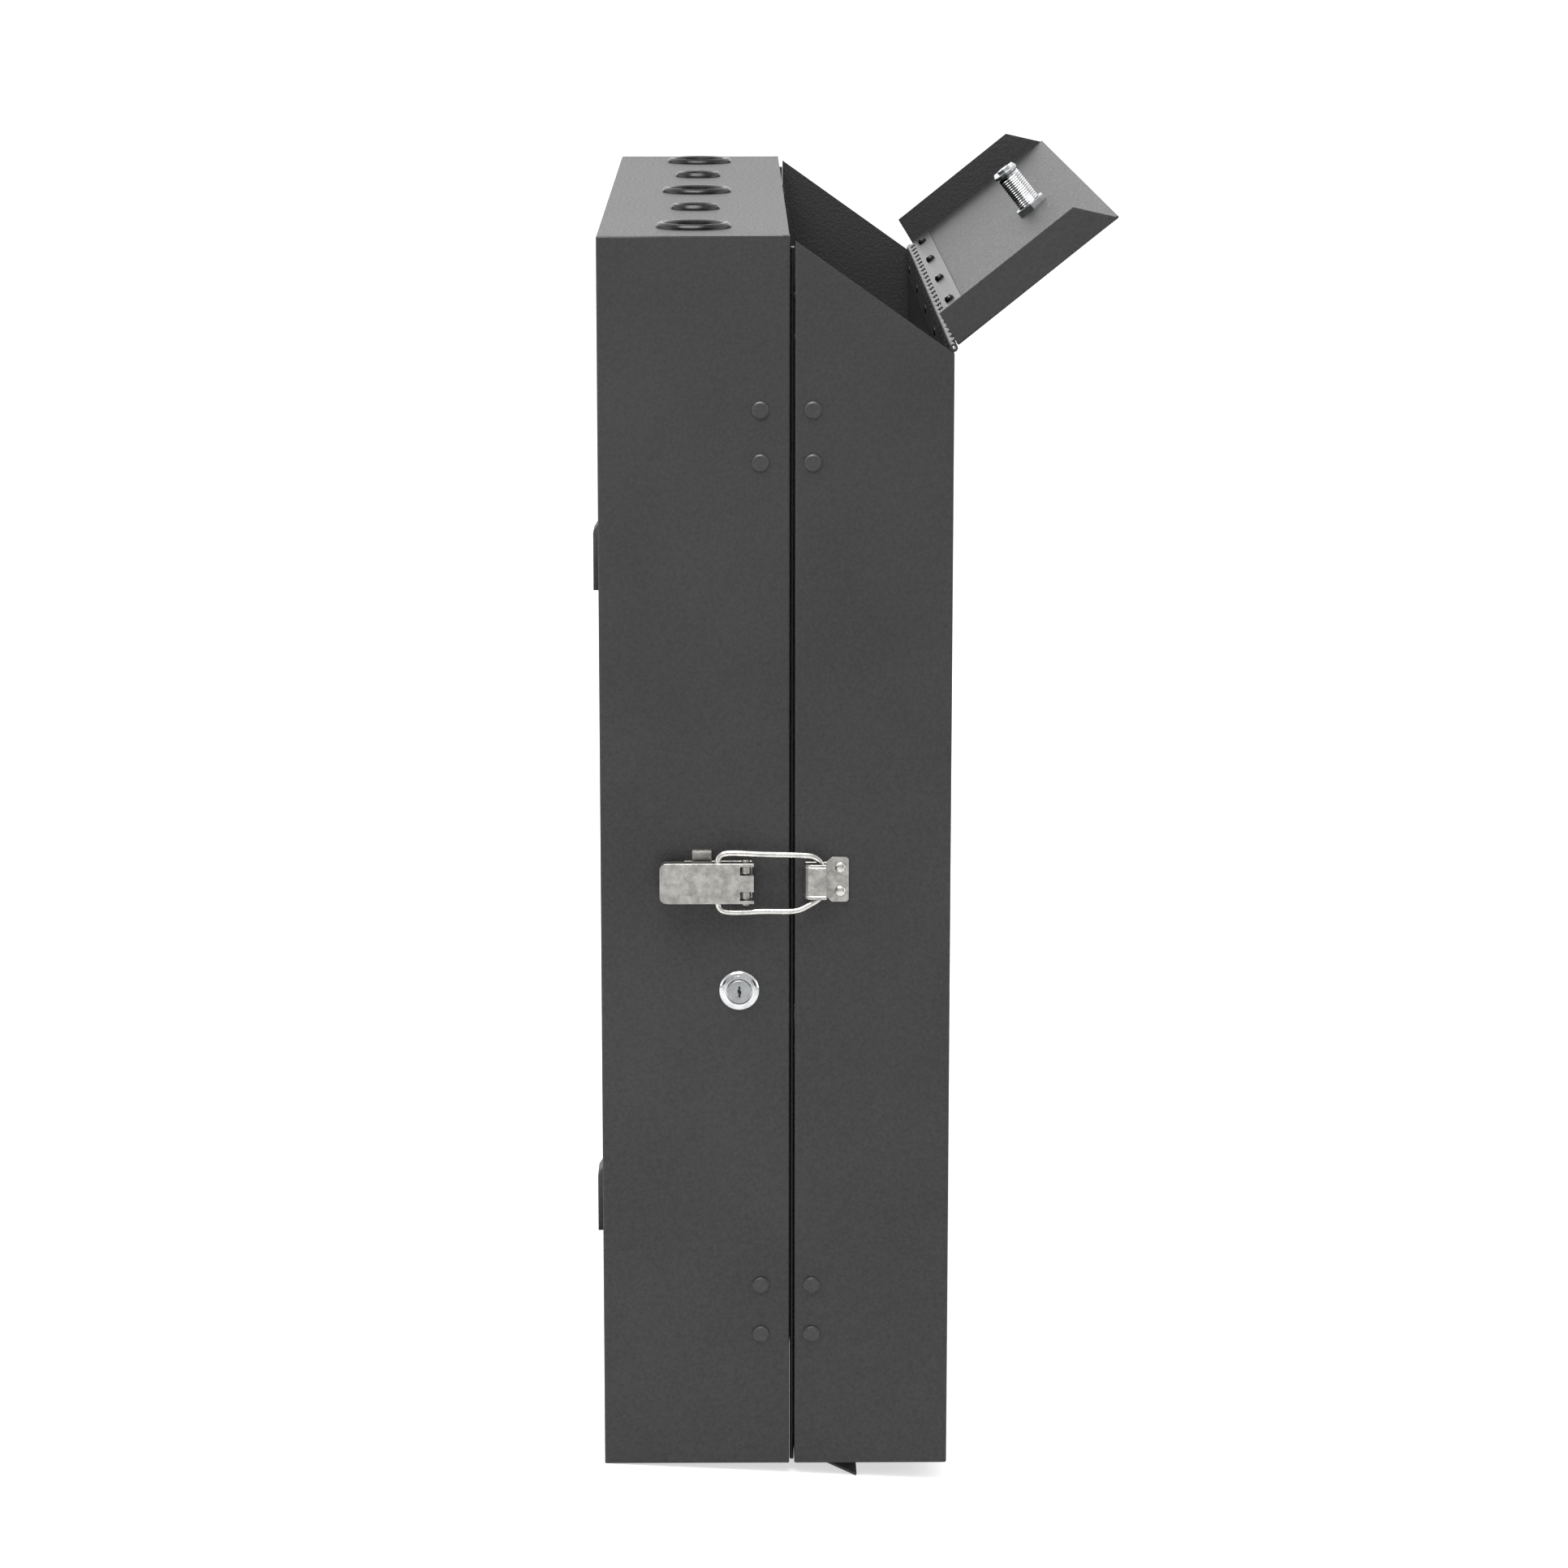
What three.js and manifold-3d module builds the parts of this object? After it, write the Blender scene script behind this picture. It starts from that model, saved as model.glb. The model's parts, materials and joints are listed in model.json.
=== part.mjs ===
// A slim lockable wall cabinet in sheet steel: a rear tray that hangs on the wall, a front cover that
// swings from it on two hinges, and a sloped access hatch on the cover. Millimetres, +Z up, the front
// faces -Y, the wall is on +Y. The origin is the middle of the rear tray's underside.
import * as THREE from 'three';
import { mergeVertices } from 'three/addons/utils/BufferGeometryUtils.js';
import Module from 'manifold-3d';

const wasm = await Module();
wasm.setup();

// ---- driving dimensions ---------------------------------------------------------------------------

const WIDTH = 656;
const HEIGHT = 724;
const TRAY_DEPTH = 109;
const COVER_DEPTH = 90;
const SEAM = 3;
const SHEET = 1.5;
const COVER_TOP = 721.3; // the cover's side walls end a little below the tray's top
const COVER_FRONT_TOP = 657.5;
const LIP = 12; // return flanges round the two open edges
const GAP = 0.3; // clearance between a piece and what cuts or carries it
const OVER = 5; // how far a cutting tool runs past the face it cuts

const HALF = WIDTH / 2;
const INNER = HALF - SHEET;
const BACK = TRAY_DEPTH / 2;
const TRAY_FRONT = -TRAY_DEPTH / 2;
const COVER_BACK = TRAY_FRONT - SEAM;
const COVER_FRONT = COVER_BACK - COVER_DEPTH;

// the channel folded along the tray's top front edge, which the hatch's cam turns under
const CHANNEL = { drop: 22, shelf: 12, half: 318 };

// slots in the tray's top front edge that the hatch's side flanges drop into
const NOTCH = { side: 0.8, depth: 4 };

// cable bushings along the top
const BUSHING_PITCH = 134;
const LARGE_BUSHING = { hole: 19.3, neck: 18.6, bore: 16.5, flange: 21.75 };
const SMALL_BUSHING = { hole: 12.9, neck: 12.2, bore: 10.2, flange: 14.75 };
const BUSHING_RISE = 3;
const BUSHING_REACH = 12;

// pressed hangers on the back, with a keyhole in each
const HANGER = { x: 240, proud: 5, half: 13, height: 42, ramp: 8, head: 5.5, slot: 3.2, slotRise: 12 };
const HANGER_HEIGHTS = [142, 532];

// lanced feet under the cover
const FOOT = { y: -75, reach: 19, drop: 9, width: 50, inset: 3 };

// corner rivets, hinges and the plates that fill the unused hinge places
const HINGE_HEIGHTS = [95.3, 611.2];
const RIVET_SPACING = 30;
const TRAY_RIVET_Y = TRAY_FRONT + 16.7;
const COVER_RIVET_Y = COVER_BACK - 10.1;
const RIVET = { head: 4.8, headHeight: 1.2, shank: 2.4, hole: 2.8, tail: 3.6, tailHeight: 1.4 };
const LEAF = { thick: 1.2, height: 60, reach: 24, strip: 1 };
const HINGE_Y = (TRAY_FRONT + COVER_BACK) / 2;
const HINGE_X = HALF + 3.4;
const KNUCKLE = { radius: 3, bore: 1.7, pin: 1.3, count: 5, gap: 0.4 };

// access hatch, in its own section: s runs from the hinge pin along the panel, n from outside to inside
const HATCH_Y = COVER_FRONT + 0.4;
const HATCH_Z = COVER_FRONT_TOP + 3.1;
const HATCH_OPEN = 106; // degrees between shut and the open stop
const SLOPE = Math.atan2(COVER_TOP - COVER_FRONT_TOP, COVER_DEPTH);
const HATCH_RISE = Math.PI - SLOPE - THREE.MathUtils.degToRad(HATCH_OPEN);
const HATCH = {
  start: 3, length: 118, outer: -0.4, inner: 1.1, flange: 20.5, cut: 16.7, heel: 2.6, inset: 4,
};
const PIANO = {
  pitch: 12.7, count: 51, radius: 2.4, bore: 1.3, pin: 0.95, leaf: 1, root: 1.5, reach: 17.5, gap: 0.5,
};

// draw latch on the hinge-free side: y and z on the wall, h outwards from it
const LATCH_Z = 354.5;
const LATCH_PIN = { y: -29.2, h: 8.5, radius: 1.4, half: 13.4 };
const BAIL_PIVOT = { y: -13.4, h: 9.5 };
const BAIL_WIRE = 1.75;
const LEVER = { tail: 20.3, nose: -33.9, half: 11.85, top: 13.2, skirt: 5.6, sheet: 1.2, corner: 4 };
const BASE = { tail: 6.3, nose: -33, half: 11, thick: 1.5 };
const CATCH = { y0: -62.6, lip: -75.8, end: -88.7, band: 10.3, half: 13.2, thick: 1.3, rise: 10.2 };
const CATCH_RIVETS = { y: -83.8, z: 6.95 };
const DOME = { radius: 3.2, height: 1.7 };

// cam locks
const LOCK = {
  flange: 11.75, ring: 9.2, face: 7.1, barrel: 7.6, hole: 8, stem: 5.5, square: 3, nut: 11.25,
};
const LOCK_NUT_HEIGHT = 4;
const CAM = { reach: 24, half: 7, thick: 2 };
const SIDE_LOCK = { y: -25.4, z: 288.3, length: 22 };
const HATCH_LOCK_S = 84;
const HATCH_LOCK_LENGTH = 28;
const STRIKER = {
  low: 262, high: 276, thick: 2, lug: -298, tongue: -313, back: -15.7, front: -84, jog: -62,
};

const FINE = 16; // sides on the larger round pieces
const COARSE = 8; // sides on rivets and pins
const TINY = 6; // sides on the hinge knuckles and the wire

// ---- materials ------------------------------------------------------------------------------------

const paint = () => new THREE.MeshStandardMaterial({ color: '#2c2d2e', roughness: 0.62, metalness: 0.1 });
const plated = () => new THREE.MeshStandardMaterial({ color: '#b9b7b1', roughness: 0.38, metalness: 1 });
const chrome = () => new THREE.MeshStandardMaterial({ color: '#d8d9db', roughness: 0.12, metalness: 1 });
const zinc = () => new THREE.MeshStandardMaterial({ color: '#a9abad', roughness: 0.45, metalness: 1 });
const nylon = () => new THREE.MeshStandardMaterial({ color: '#121213', roughness: 0.35, metalness: 0 });

// ---- solids ---------------------------------------------------------------------------------------

const X_AXIS = new THREE.Vector3(1, 0, 0);
const Y_AXIS = new THREE.Vector3(0, 1, 0);
const Z_AXIS = new THREE.Vector3(0, 0, 1);
const LATCH_SIDE = X_AXIS.clone().negate(); // the latch and side lock are on the -X wall

/** A closed three.js geometry as a solid, with shared corners merged and faces turned outwards. */
function solid(geometry) {
  const source = geometry.clone();
  source.deleteAttribute('normal');
  source.deleteAttribute('uv');
  const merged = mergeVertices(source, 1e-4);
  const corners = Array.from(merged.index.array);
  const faces = [];
  for (let i = 0; i < corners.length; i += 3) {
    const [a, b, c] = corners.slice(i, i + 3);
    if (a !== b && b !== c && c !== a) faces.push(a, b, c);
  }
  const points = merged.getAttribute('position').array;
  const build = (order) => new wasm.Manifold(new wasm.Mesh({
    numProp: 3,
    vertProperties: new Float32Array(points),
    triVerts: new Uint32Array(order),
  }));
  const first = build(faces);
  return first.volume() > 0 ? first : build(faces.reverse());
}

/** A solid as a three.js geometry. */
function surface(body) {
  const mesh = body.getMesh();
  const geometry = new THREE.BufferGeometry();
  geometry.setAttribute('position', new THREE.BufferAttribute(new Float32Array(mesh.vertProperties), 3));
  geometry.setIndex(Array.from(mesh.triVerts));
  geometry.computeVertexNormals();
  return geometry;
}

const join = (...bodies) => bodies.reduce((sum, body) => sum.add(body));
const cut = (body, ...tools) => tools.reduce((rest, tool) => rest.subtract(tool), body);

/** A box between two corners. */
function block(x0, x1, y0, y1, z0, z1) {
  const box = new THREE.BoxGeometry(x1 - x0, y1 - y0, z1 - z0);
  return solid(box.translate((x0 + x1) / 2, (y0 + y1) / 2, (z0 + z1) / 2));
}

/** An outline extruded between two places along x (outline in y, z) or z (outline in x, y). */
function prism(axis, outline, from, to) {
  const shape = new THREE.Shape(outline.map(([u, v]) => new THREE.Vector2(u, v)));
  const body = new THREE.ExtrudeGeometry(shape, { depth: to - from, bevelEnabled: false });
  if (axis === 'x') body.applyMatrix4(new THREE.Matrix4().makeBasis(Y_AXIS, Z_AXIS, X_AXIS));
  const along = axis === 'x' ? X_AXIS : Z_AXIS;
  return solid(body.translate(...along.clone().multiplyScalar(from).toArray()));
}

/** A profile of [radius, height] points turned about an axis that starts at a point. */
function turned(profile, origin, direction, sides) {
  const body = new THREE.LatheGeometry(profile.map(([r, h]) => new THREE.Vector2(r, h)), sides);
  body.applyQuaternion(new THREE.Quaternion().setFromUnitVectors(Y_AXIS, direction));
  return solid(body.translate(...origin));
}

/** A round bar between two heights along an axis that starts at a point. */
function bar(radius, from, to, origin, direction, sides) {
  return turned([[0, from], [radius, from], [radius, to], [0, to]], origin, direction, sides);
}

/** Points round an arc, from one angle to another in degrees. */
function arc(cu, cv, radius, from, to, steps) {
  return Array.from({ length: steps + 1 }, (_, i) => {
    const angle = THREE.MathUtils.degToRad(from + (to - from) * i / steps);
    return [cu + radius * Math.cos(angle), cv + radius * Math.sin(angle)];
  });
}

const model = new THREE.Group();

/** Puts a finished solid into the model under its own name. */
function add(name, body, material, group = model) {
  const mesh = new THREE.Mesh(surface(body), material);
  mesh.name = name;
  group.add(mesh);
}

// ---- rear tray ------------------------------------------------------------------------------------

const RIVET_HEIGHTS = HINGE_HEIGHTS.flatMap((z) => [z - RIVET_SPACING / 2, z + RIVET_SPACING / 2]);

/** Holes for the corner rivets through both side walls at one depth. */
const rivetHoles = (y) => RIVET_HEIGHTS.flatMap((z) => [-1, 1].map((side) =>
  bar(RIVET.hole, INNER - OVER, HALF + OVER, [0, y, z], X_AXIS.clone().multiplyScalar(side), COARSE)));

/** The section of a pressed hanger, drawn in by a skin thickness for its hollow side. */
function hangerSection(z, skin) {
  const top = z + HANGER.height / 2;
  const bottom = z - HANGER.height / 2;
  const inside = BACK - SHEET - (skin ? OVER : 0);
  const face = BACK + HANGER.proud - skin;
  return [
    [inside, bottom + skin],
    [face, bottom + skin],
    [face, top - HANGER.ramp - skin],
    [BACK, top - skin],
    [inside, top - skin],
  ];
}

/** The keyhole through a hanger: a round hole for the screw head and a slot above it. */
function keyhole(x, z) {
  const from = BACK - OVER;
  const to = BACK + HANGER.proud + OVER;
  const centre = z - HANGER.height / 4;
  const head = bar(HANGER.head, from, to, [x, 0, centre], Y_AXIS, COARSE);
  const slot = block(x - HANGER.slot, x + HANGER.slot, from, to, centre, centre + HANGER.slotRise);
  return join(head, slot);
}

const bushingPlaces = [-2, -1, 0, 1, 2].map((step) => ({
  x: step * BUSHING_PITCH,
  size: step % 2 ? SMALL_BUSHING : LARGE_BUSHING,
}));

function rearTray() {
  const walls = block(-HALF, HALF, TRAY_FRONT, BACK, 0, HEIGHT);
  const hollow = block(-INNER, INNER, TRAY_FRONT - OVER, BACK - SHEET, SHEET, HEIGHT - SHEET);
  const shelfZ = HEIGHT - CHANNEL.drop;
  const channel = join(
    block(-CHANNEL.half, CHANNEL.half, TRAY_FRONT, TRAY_FRONT + SHEET, shelfZ, HEIGHT - SHEET),
    block(-CHANNEL.half, CHANNEL.half, TRAY_FRONT, TRAY_FRONT + CHANNEL.shelf, shelfZ, shelfZ + SHEET),
  );
  const sill = block(-CHANNEL.half, CHANNEL.half, TRAY_FRONT, TRAY_FRONT + SHEET, SHEET, SHEET + LIP);
  let tray = join(cut(walls, hollow), channel, sill);
  for (const x of [-HANGER.x, HANGER.x]) {
    for (const z of HANGER_HEIGHTS) {
      const skin = prism('x', hangerSection(z, 0), x - HANGER.half, x + HANGER.half);
      const inside = HANGER.half - SHEET;
      const pocket = prism('x', hangerSection(z, SHEET), x - inside, x + inside);
      tray = cut(join(tray, skin), pocket, keyhole(x, z));
    }
  }
  const cable = bushingPlaces.map(({ x, size }) =>
    bar(size.hole, HEIGHT - OVER, HEIGHT + OVER, [x, 0, 0], Z_AXIS, FINE));
  const lock = bar(LOCK.hole, INNER - OVER, HALF + OVER, [0, SIDE_LOCK.y, SIDE_LOCK.z], LATCH_SIDE, FINE);
  const base = baseRivets.map(([y, z]) =>
    bar(RIVET.hole, INNER - OVER, HALF + OVER, [0, y, z], LATCH_SIDE, COARSE));
  const notches = [-1, 1].map((side) => {
    const middle = side * (HALF - HATCH.inset - SHEET / 2);
    const room = SHEET / 2 + NOTCH.side;
    return block(middle - room, middle + room, TRAY_FRONT - OVER, TRAY_FRONT + NOTCH.depth,
      HEIGHT - 2 * SHEET, HEIGHT + OVER);
  });
  return cut(tray, ...cable, ...rivetHoles(TRAY_RIVET_Y), lock, ...base, ...notches);
}

/** A snap bushing: a low domed flange on the top and a neck that goes down through the hole. */
function bushing(x, { neck, bore, flange }) {
  const top = HEIGHT + BUSHING_RISE;
  const seat = HEIGHT + GAP / 6;
  const profile = [
    [bore, HEIGHT - BUSHING_REACH],
    [neck, HEIGHT - BUSHING_REACH],
    [neck, seat],
    [flange, seat],
    [flange, HEIGHT + 1],
    [flange - 1.6, top],
    [bore + 1.2, top],
    [bore, top - 1.2],
    [bore, HEIGHT - BUSHING_REACH],
  ];
  return turned(profile, [x, 0, 0], Z_AXIS, FINE);
}

// ---- front cover ----------------------------------------------------------------------------------

const coverSide = [
  [COVER_BACK, 0],
  [COVER_FRONT, 0],
  [COVER_FRONT, COVER_FRONT_TOP],
  [COVER_BACK, COVER_TOP],
];

/** The return flange down one side of the cover's open back, interrupted where a hinge leaf passes. */
function sideLip(side) {
  const top = COVER_TOP - LIP - CHANNEL.shelf;
  const [near, far] = [INNER - LIP, INNER + SHEET / 2].map((x) => x * side).sort((a, b) => a - b);
  const strip = block(near, far, COVER_BACK - SHEET, COVER_BACK, LIP + 2 * SHEET, top);
  if (side < 0) return strip;
  const room = LEAF.height / 2 + 2;
  const notches = HINGE_HEIGHTS.map((z) =>
    block(INNER - LIP - OVER, INNER, COVER_BACK - OVER, COVER_BACK + OVER, z - room, z + room));
  return cut(strip, ...notches);
}

/** One lanced foot: a tongue bent down out of the cover's floor, and the window it leaves. */
function foot(side) {
  const [x0, x1] = [HALF - FOOT.inset - FOOT.width, HALF - FOOT.inset]
    .map((x) => x * side)
    .sort((a, b) => a - b);
  const tip = FOOT.y - FOOT.reach;
  const angle = Math.atan2(FOOT.drop, FOOT.reach);
  const lift = [SHEET * Math.sin(angle), SHEET * Math.cos(angle)];
  const section = [
    [FOOT.y + 1, SHEET],
    [FOOT.y + 1, 0],
    [FOOT.y, 0],
    [tip, -FOOT.drop],
    [tip - lift[0], lift[1] - FOOT.drop],
    [FOOT.y - lift[0], SHEET],
  ];
  return {
    tongue: prism('x', section, x0, x1),
    window: block(x0 - GAP, x1 + GAP, tip - SHEET, FOOT.y, -OVER, SHEET + OVER),
  };
}

function frontCover() {
  const walls = prism('x', coverSide, -HALF, HALF);
  const hollow = block(-INNER, INNER, COVER_FRONT + SHEET, COVER_BACK + OVER, SHEET, HEIGHT + OVER);
  const sill = block(LIP - INNER, INNER - LIP, COVER_BACK - SHEET, COVER_BACK, SHEET / 2, SHEET + LIP);
  const brow = block(-INNER, INNER, COVER_FRONT - OVER, COVER_FRONT + SHEET + OVER,
    COVER_FRONT_TOP, COVER_FRONT_TOP + 4);
  let cover = join(cut(walls, hollow, brow), sill, sideLip(-1), sideLip(1));
  for (const side of [-1, 1]) {
    const { tongue, window } = foot(side);
    cover = join(cut(cover, window), tongue);
  }
  const catchHoles = [-1, 1].map((end) =>
    bar(RIVET.hole, INNER - OVER, HALF + OVER,
      [0, CATCH_RIVETS.y, LATCH_Z + end * CATCH_RIVETS.z], LATCH_SIDE, COARSE));
  return cut(cover, ...rivetHoles(COVER_RIVET_Y), ...catchHoles);
}

// ---- hinges, rivets and filler plates ---------------------------------------------------------------

/** A flat-headed rivet through a side wall: head outside, tail upset inside. */
function wallRivet(side, y, z) {
  const inside = INNER - GAP - LEAF.thick;
  const clear = GAP / 6;
  const profile = [
    [0, inside - clear - RIVET.tailHeight],
    [RIVET.tail, inside - clear - RIVET.tailHeight],
    [RIVET.tail, inside - clear],
    [RIVET.shank, inside - clear],
    [RIVET.shank, HALF + clear],
    [RIVET.head, HALF + clear],
    [RIVET.head, HALF + RIVET.headHeight * 0.6],
    [RIVET.head - 0.7, HALF + RIVET.headHeight],
    [0, HALF + RIVET.headHeight],
  ];
  return turned(profile, [0, y, z], X_AXIS.clone().multiplyScalar(side), COARSE);
}

/** A dome-headed rivet through a plate of a given thickness on the latch side. */
function domeRivet(y, z, plate) {
  const clear = GAP / 6;
  const seat = HALF + plate + clear;
  const profile = [
    [0, INNER - clear - RIVET.tailHeight],
    [RIVET.tail, INNER - clear - RIVET.tailHeight],
    [RIVET.tail, INNER - clear],
    [RIVET.shank, INNER - clear],
    [RIVET.shank, seat],
    [DOME.radius, seat],
    [DOME.radius * 0.8, seat + DOME.height * 0.65],
    [DOME.radius * 0.35, seat + DOME.height],
    [0, seat + DOME.height],
  ];
  return turned(profile, [0, y, z], LATCH_SIDE, COARSE);
}

/**
 * One leaf of a side hinge: a plate riveted inside the wall, a strip out through the seam, and its
 * share of the knuckles outside. Turn is +1 for the tray's leaf and -1 for the cover's.
 */
function hingeLeaf(z, turn) {
  const outer = INNER - GAP;
  const low = z - LEAF.height / 2;
  const high = z + LEAF.height / 2;
  const near = HINGE_Y + turn * 0.2;
  const far = near + turn * LEAF.strip;
  const end = HINGE_Y + turn * (LEAF.reach + SEAM / 2);
  const span = (a, b) => [Math.min(a, b), Math.max(a, b)];
  let leaf = join(
    block(outer - LEAF.thick, outer, ...span(near, end), low, high),
    block(outer - LEAF.thick, HINGE_X - KNUCKLE.radius - GAP, ...span(near, far), low, high),
  );
  const pitch = LEAF.height / KNUCKLE.count;
  for (let i = turn > 0 ? 0 : 1; i < KNUCKLE.count; i += 2) {
    const from = low + i * pitch + KNUCKLE.gap / 2;
    const to = low + (i + 1) * pitch - KNUCKLE.gap / 2;
    const web = block(HINGE_X - KNUCKLE.radius - OVER, HINGE_X, ...span(near, far), from, to);
    leaf = join(leaf, web, bar(KNUCKLE.radius, from, to, [HINGE_X, HINGE_Y, 0], Z_AXIS, COARSE));
  }
  const bore = bar(KNUCKLE.bore, low - OVER, high + OVER, [HINGE_X, HINGE_Y, 0], Z_AXIS, COARSE);
  const rivetY = turn > 0 ? TRAY_RIVET_Y : COVER_RIVET_Y;
  const holes = [-1, 1].map((step) =>
    bar(RIVET.hole, INNER - OVER, HALF, [0, rivetY, z + step * RIVET_SPACING / 2], X_AXIS, COARSE));
  return cut(leaf, bore, ...holes);
}

/** The pin of a side hinge, with a head at each end. */
function hingePin(z) {
  const end = LEAF.height / 2 + GAP;
  const head = KNUCKLE.radius * 0.8;
  const profile = [
    [0, -end - 1],
    [head, -end - 1],
    [head, -end],
    [KNUCKLE.pin, -end],
    [KNUCKLE.pin, end],
    [head, end],
    [head, end + 1],
    [0, end + 1],
  ];
  return turned(profile, [HINGE_X, HINGE_Y, z], Z_AXIS, COARSE);
}

/** A plain plate behind the unused hinge holes on the latch side. */
function fillerPlate(y, z) {
  const outer = -INNER + GAP;
  const plate = block(outer, outer + LEAF.thick, y - 8, y + 8, z - LEAF.height / 2, z + LEAF.height / 2);
  const holes = [-1, 1].map((step) =>
    bar(RIVET.hole, INNER - OVER, HALF, [0, y, z + step * RIVET_SPACING / 2], LATCH_SIDE, COARSE));
  return cut(plate, ...holes);
}

// ---- hatch ----------------------------------------------------------------------------------------

const HATCH_ALONG = new THREE.Vector3(0, -Math.cos(HATCH_RISE), Math.sin(HATCH_RISE));
const HATCH_INWARD = new THREE.Vector3(0, Math.sin(HATCH_RISE), Math.cos(HATCH_RISE));

/** The y and z of a point in the open hatch's own section. */
function onHatch(s, n) {
  return [
    HATCH_Y + s * HATCH_ALONG.y + n * HATCH_INWARD.y,
    HATCH_Z + s * HATCH_ALONG.z + n * HATCH_INWARD.z,
  ];
}

function hatchPanel() {
  const half = HALF - HATCH.inset;
  const end = HATCH.length;
  const flange = [[HATCH.start, HATCH.outer], [end, HATCH.outer], [end - HATCH.cut, HATCH.flange],
    [HATCH.start + HATCH.heel, HATCH.flange]].map(([s, n]) => onHatch(s, n));
  const panel = [[HATCH.start, HATCH.outer], [end, HATCH.outer], [end, HATCH.inner],
    [HATCH.start, HATCH.inner]].map(([s, n]) => onHatch(s, n));
  const body = join(
    prism('x', panel, -half, half),
    prism('x', flange, -half, SHEET - half),
    prism('x', flange, half - SHEET, half),
  );
  const origin = [0, ...onHatch(HATCH_LOCK_S, 0)];
  return cut(body, bar(LOCK.hole, -OVER, OVER, origin, HATCH_INWARD, FINE));
}

const PIANO_LENGTH = PIANO.pitch * PIANO.count;

/** One leaf of the piano hinge: a strip and every other knuckle, bored for the pin. */
function pianoLeaf(first, strip) {
  const half = HALF - HATCH.inset - SHEET - GAP;
  let leaf = prism('x', strip, -half, half);
  const origin = [0, HATCH_Y, HATCH_Z];
  for (let i = 0; i < PIANO.count; i += 1) {
    const from = -PIANO_LENGTH / 2 + i * PIANO.pitch;
    const to = from + PIANO.pitch;
    if (i % 2 === first) {
      leaf = join(leaf, bar(PIANO.radius, from + PIANO.gap / 2, to - PIANO.gap / 2, origin, X_AXIS, TINY));
    } else {
      const clear = PIANO.radius + 2 * GAP;
      leaf = cut(leaf, bar(clear, from - PIANO.gap / 2, to + PIANO.gap / 2, origin, X_AXIS, COARSE));
    }
  }
  return cut(leaf, bar(PIANO.bore, -HALF, HALF, origin, X_AXIS, TINY));
}

const lowerStrip = [
  [HATCH_Y + PIANO.radius - PIANO.leaf, HATCH_Z - PIANO.root],
  [HATCH_Y + PIANO.radius, HATCH_Z - PIANO.root],
  [HATCH_Y + PIANO.radius, HATCH_Z - PIANO.reach],
  [HATCH_Y + PIANO.radius - PIANO.leaf, HATCH_Z - PIANO.reach],
];

const upperStrip = [
  onHatch(PIANO.root, PIANO.radius - PIANO.leaf),
  onHatch(PIANO.reach, PIANO.radius - PIANO.leaf),
  onHatch(PIANO.reach, PIANO.radius),
  onHatch(PIANO.root, PIANO.radius),
];

// ---- locks ----------------------------------------------------------------------------------------

/**
 * A cam lock built from its seat outwards, in a group whose +Z points out of the panel it is in.
 * Length is how far the barrel reaches behind the panel's outer face, and cam is the cam's heading.
 */
function camLock(prefix, length, panelInner, group, cam) {
  const clear = GAP / 6;
  const rise = 2.1;
  const bodyProfile = [
    [LOCK.stem + GAP, -length],
    [LOCK.barrel, -length],
    [LOCK.barrel, clear],
    [LOCK.flange, clear],
    [LOCK.flange, 0.9],
    [LOCK.flange - 1, rise],
    [LOCK.ring, rise],
    [LOCK.ring - 0.6, rise + 0.9],
    [LOCK.face + GAP, rise + 0.9],
    [LOCK.face + GAP, 0.6],
    [LOCK.stem + GAP, 0.6],
    [LOCK.stem + GAP, -length],
  ];
  const origin = [0, 0, 0];
  add(`${prefix}_body`, turned(bodyProfile, origin, Z_AXIS, FINE), chrome(), group);

  const seat = -panelInner - clear;
  const hexagon = arc(0, 0, LOCK.nut, 0, 300, 5);
  const nut = cut(
    prism('z', hexagon, seat - LOCK_NUT_HEIGHT, seat),
    bar(LOCK.barrel + GAP, seat - LOCK_NUT_HEIGHT - OVER, seat + OVER, origin, Z_AXIS, FINE),
  );
  add(`${prefix}_nut`, nut, zinc(), group);

  const plug = join(
    bar(LOCK.face, 0.6 + GAP, rise + 1.1, origin, Z_AXIS, FINE),
    bar(LOCK.stem, -length - GAP, 0.6 + GAP, origin, Z_AXIS, FINE),
    block(-LOCK.square, LOCK.square, -LOCK.square, LOCK.square, -length - GAP - CAM.thick, -length),
  );
  const keyway = block(-0.6, 0.6, -4, 4, rise - 6, rise + OVER);
  add(`${prefix}_plug`, cut(plug, keyway), chrome(), group);

  const top = -length - 2 * GAP;
  const outline = [
    ...arc(0, 0, CAM.half + 1, 90, 270, 6),
    [CAM.reach, -CAM.half],
    [CAM.reach, CAM.half],
  ];
  const hole = LOCK.square + clear;
  const arm = cut(
    prism('z', outline, top - CAM.thick, top),
    block(-hole, hole, -hole, hole, top - CAM.thick - OVER, top + OVER),
  );
  const arms = new THREE.Group();
  arms.rotation.z = cam;
  group.add(arms);
  add(`${prefix}_cam`, arm, zinc(), arms);
  const screwTop = top - CAM.thick - clear;
  add(`${prefix}_cam_screw`, bar(4.4, screwTop - 2.2, screwTop, origin, Z_AXIS, COARSE), zinc(), arms);
}

// ---- draw latch -----------------------------------------------------------------------------------

const baseRivets = [[1, LATCH_Z], [-17, LATCH_Z]];

/** A box on the latch side, given in y, z and height h above the wall. */
const onWall = (y0, y1, z0, z1, h0, h1) =>
  block(-HALF - h1, -HALF - h0, Math.min(y0, y1), Math.max(y0, y1), z0, z1);

/** A section drawn in y and h, extruded between two heights z. */
const wallPrism = (section, z0, z1) => prism('z', section.map(([y, h]) => [-HALF - h, y]), z0, z1);

/** A round bar along z at a place given in y and h. */
const wallBar = (radius, y, h, z0, z1) => bar(radius, z0, z1, [-HALF - h, y, 0], Z_AXIS, COARSE);

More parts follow.
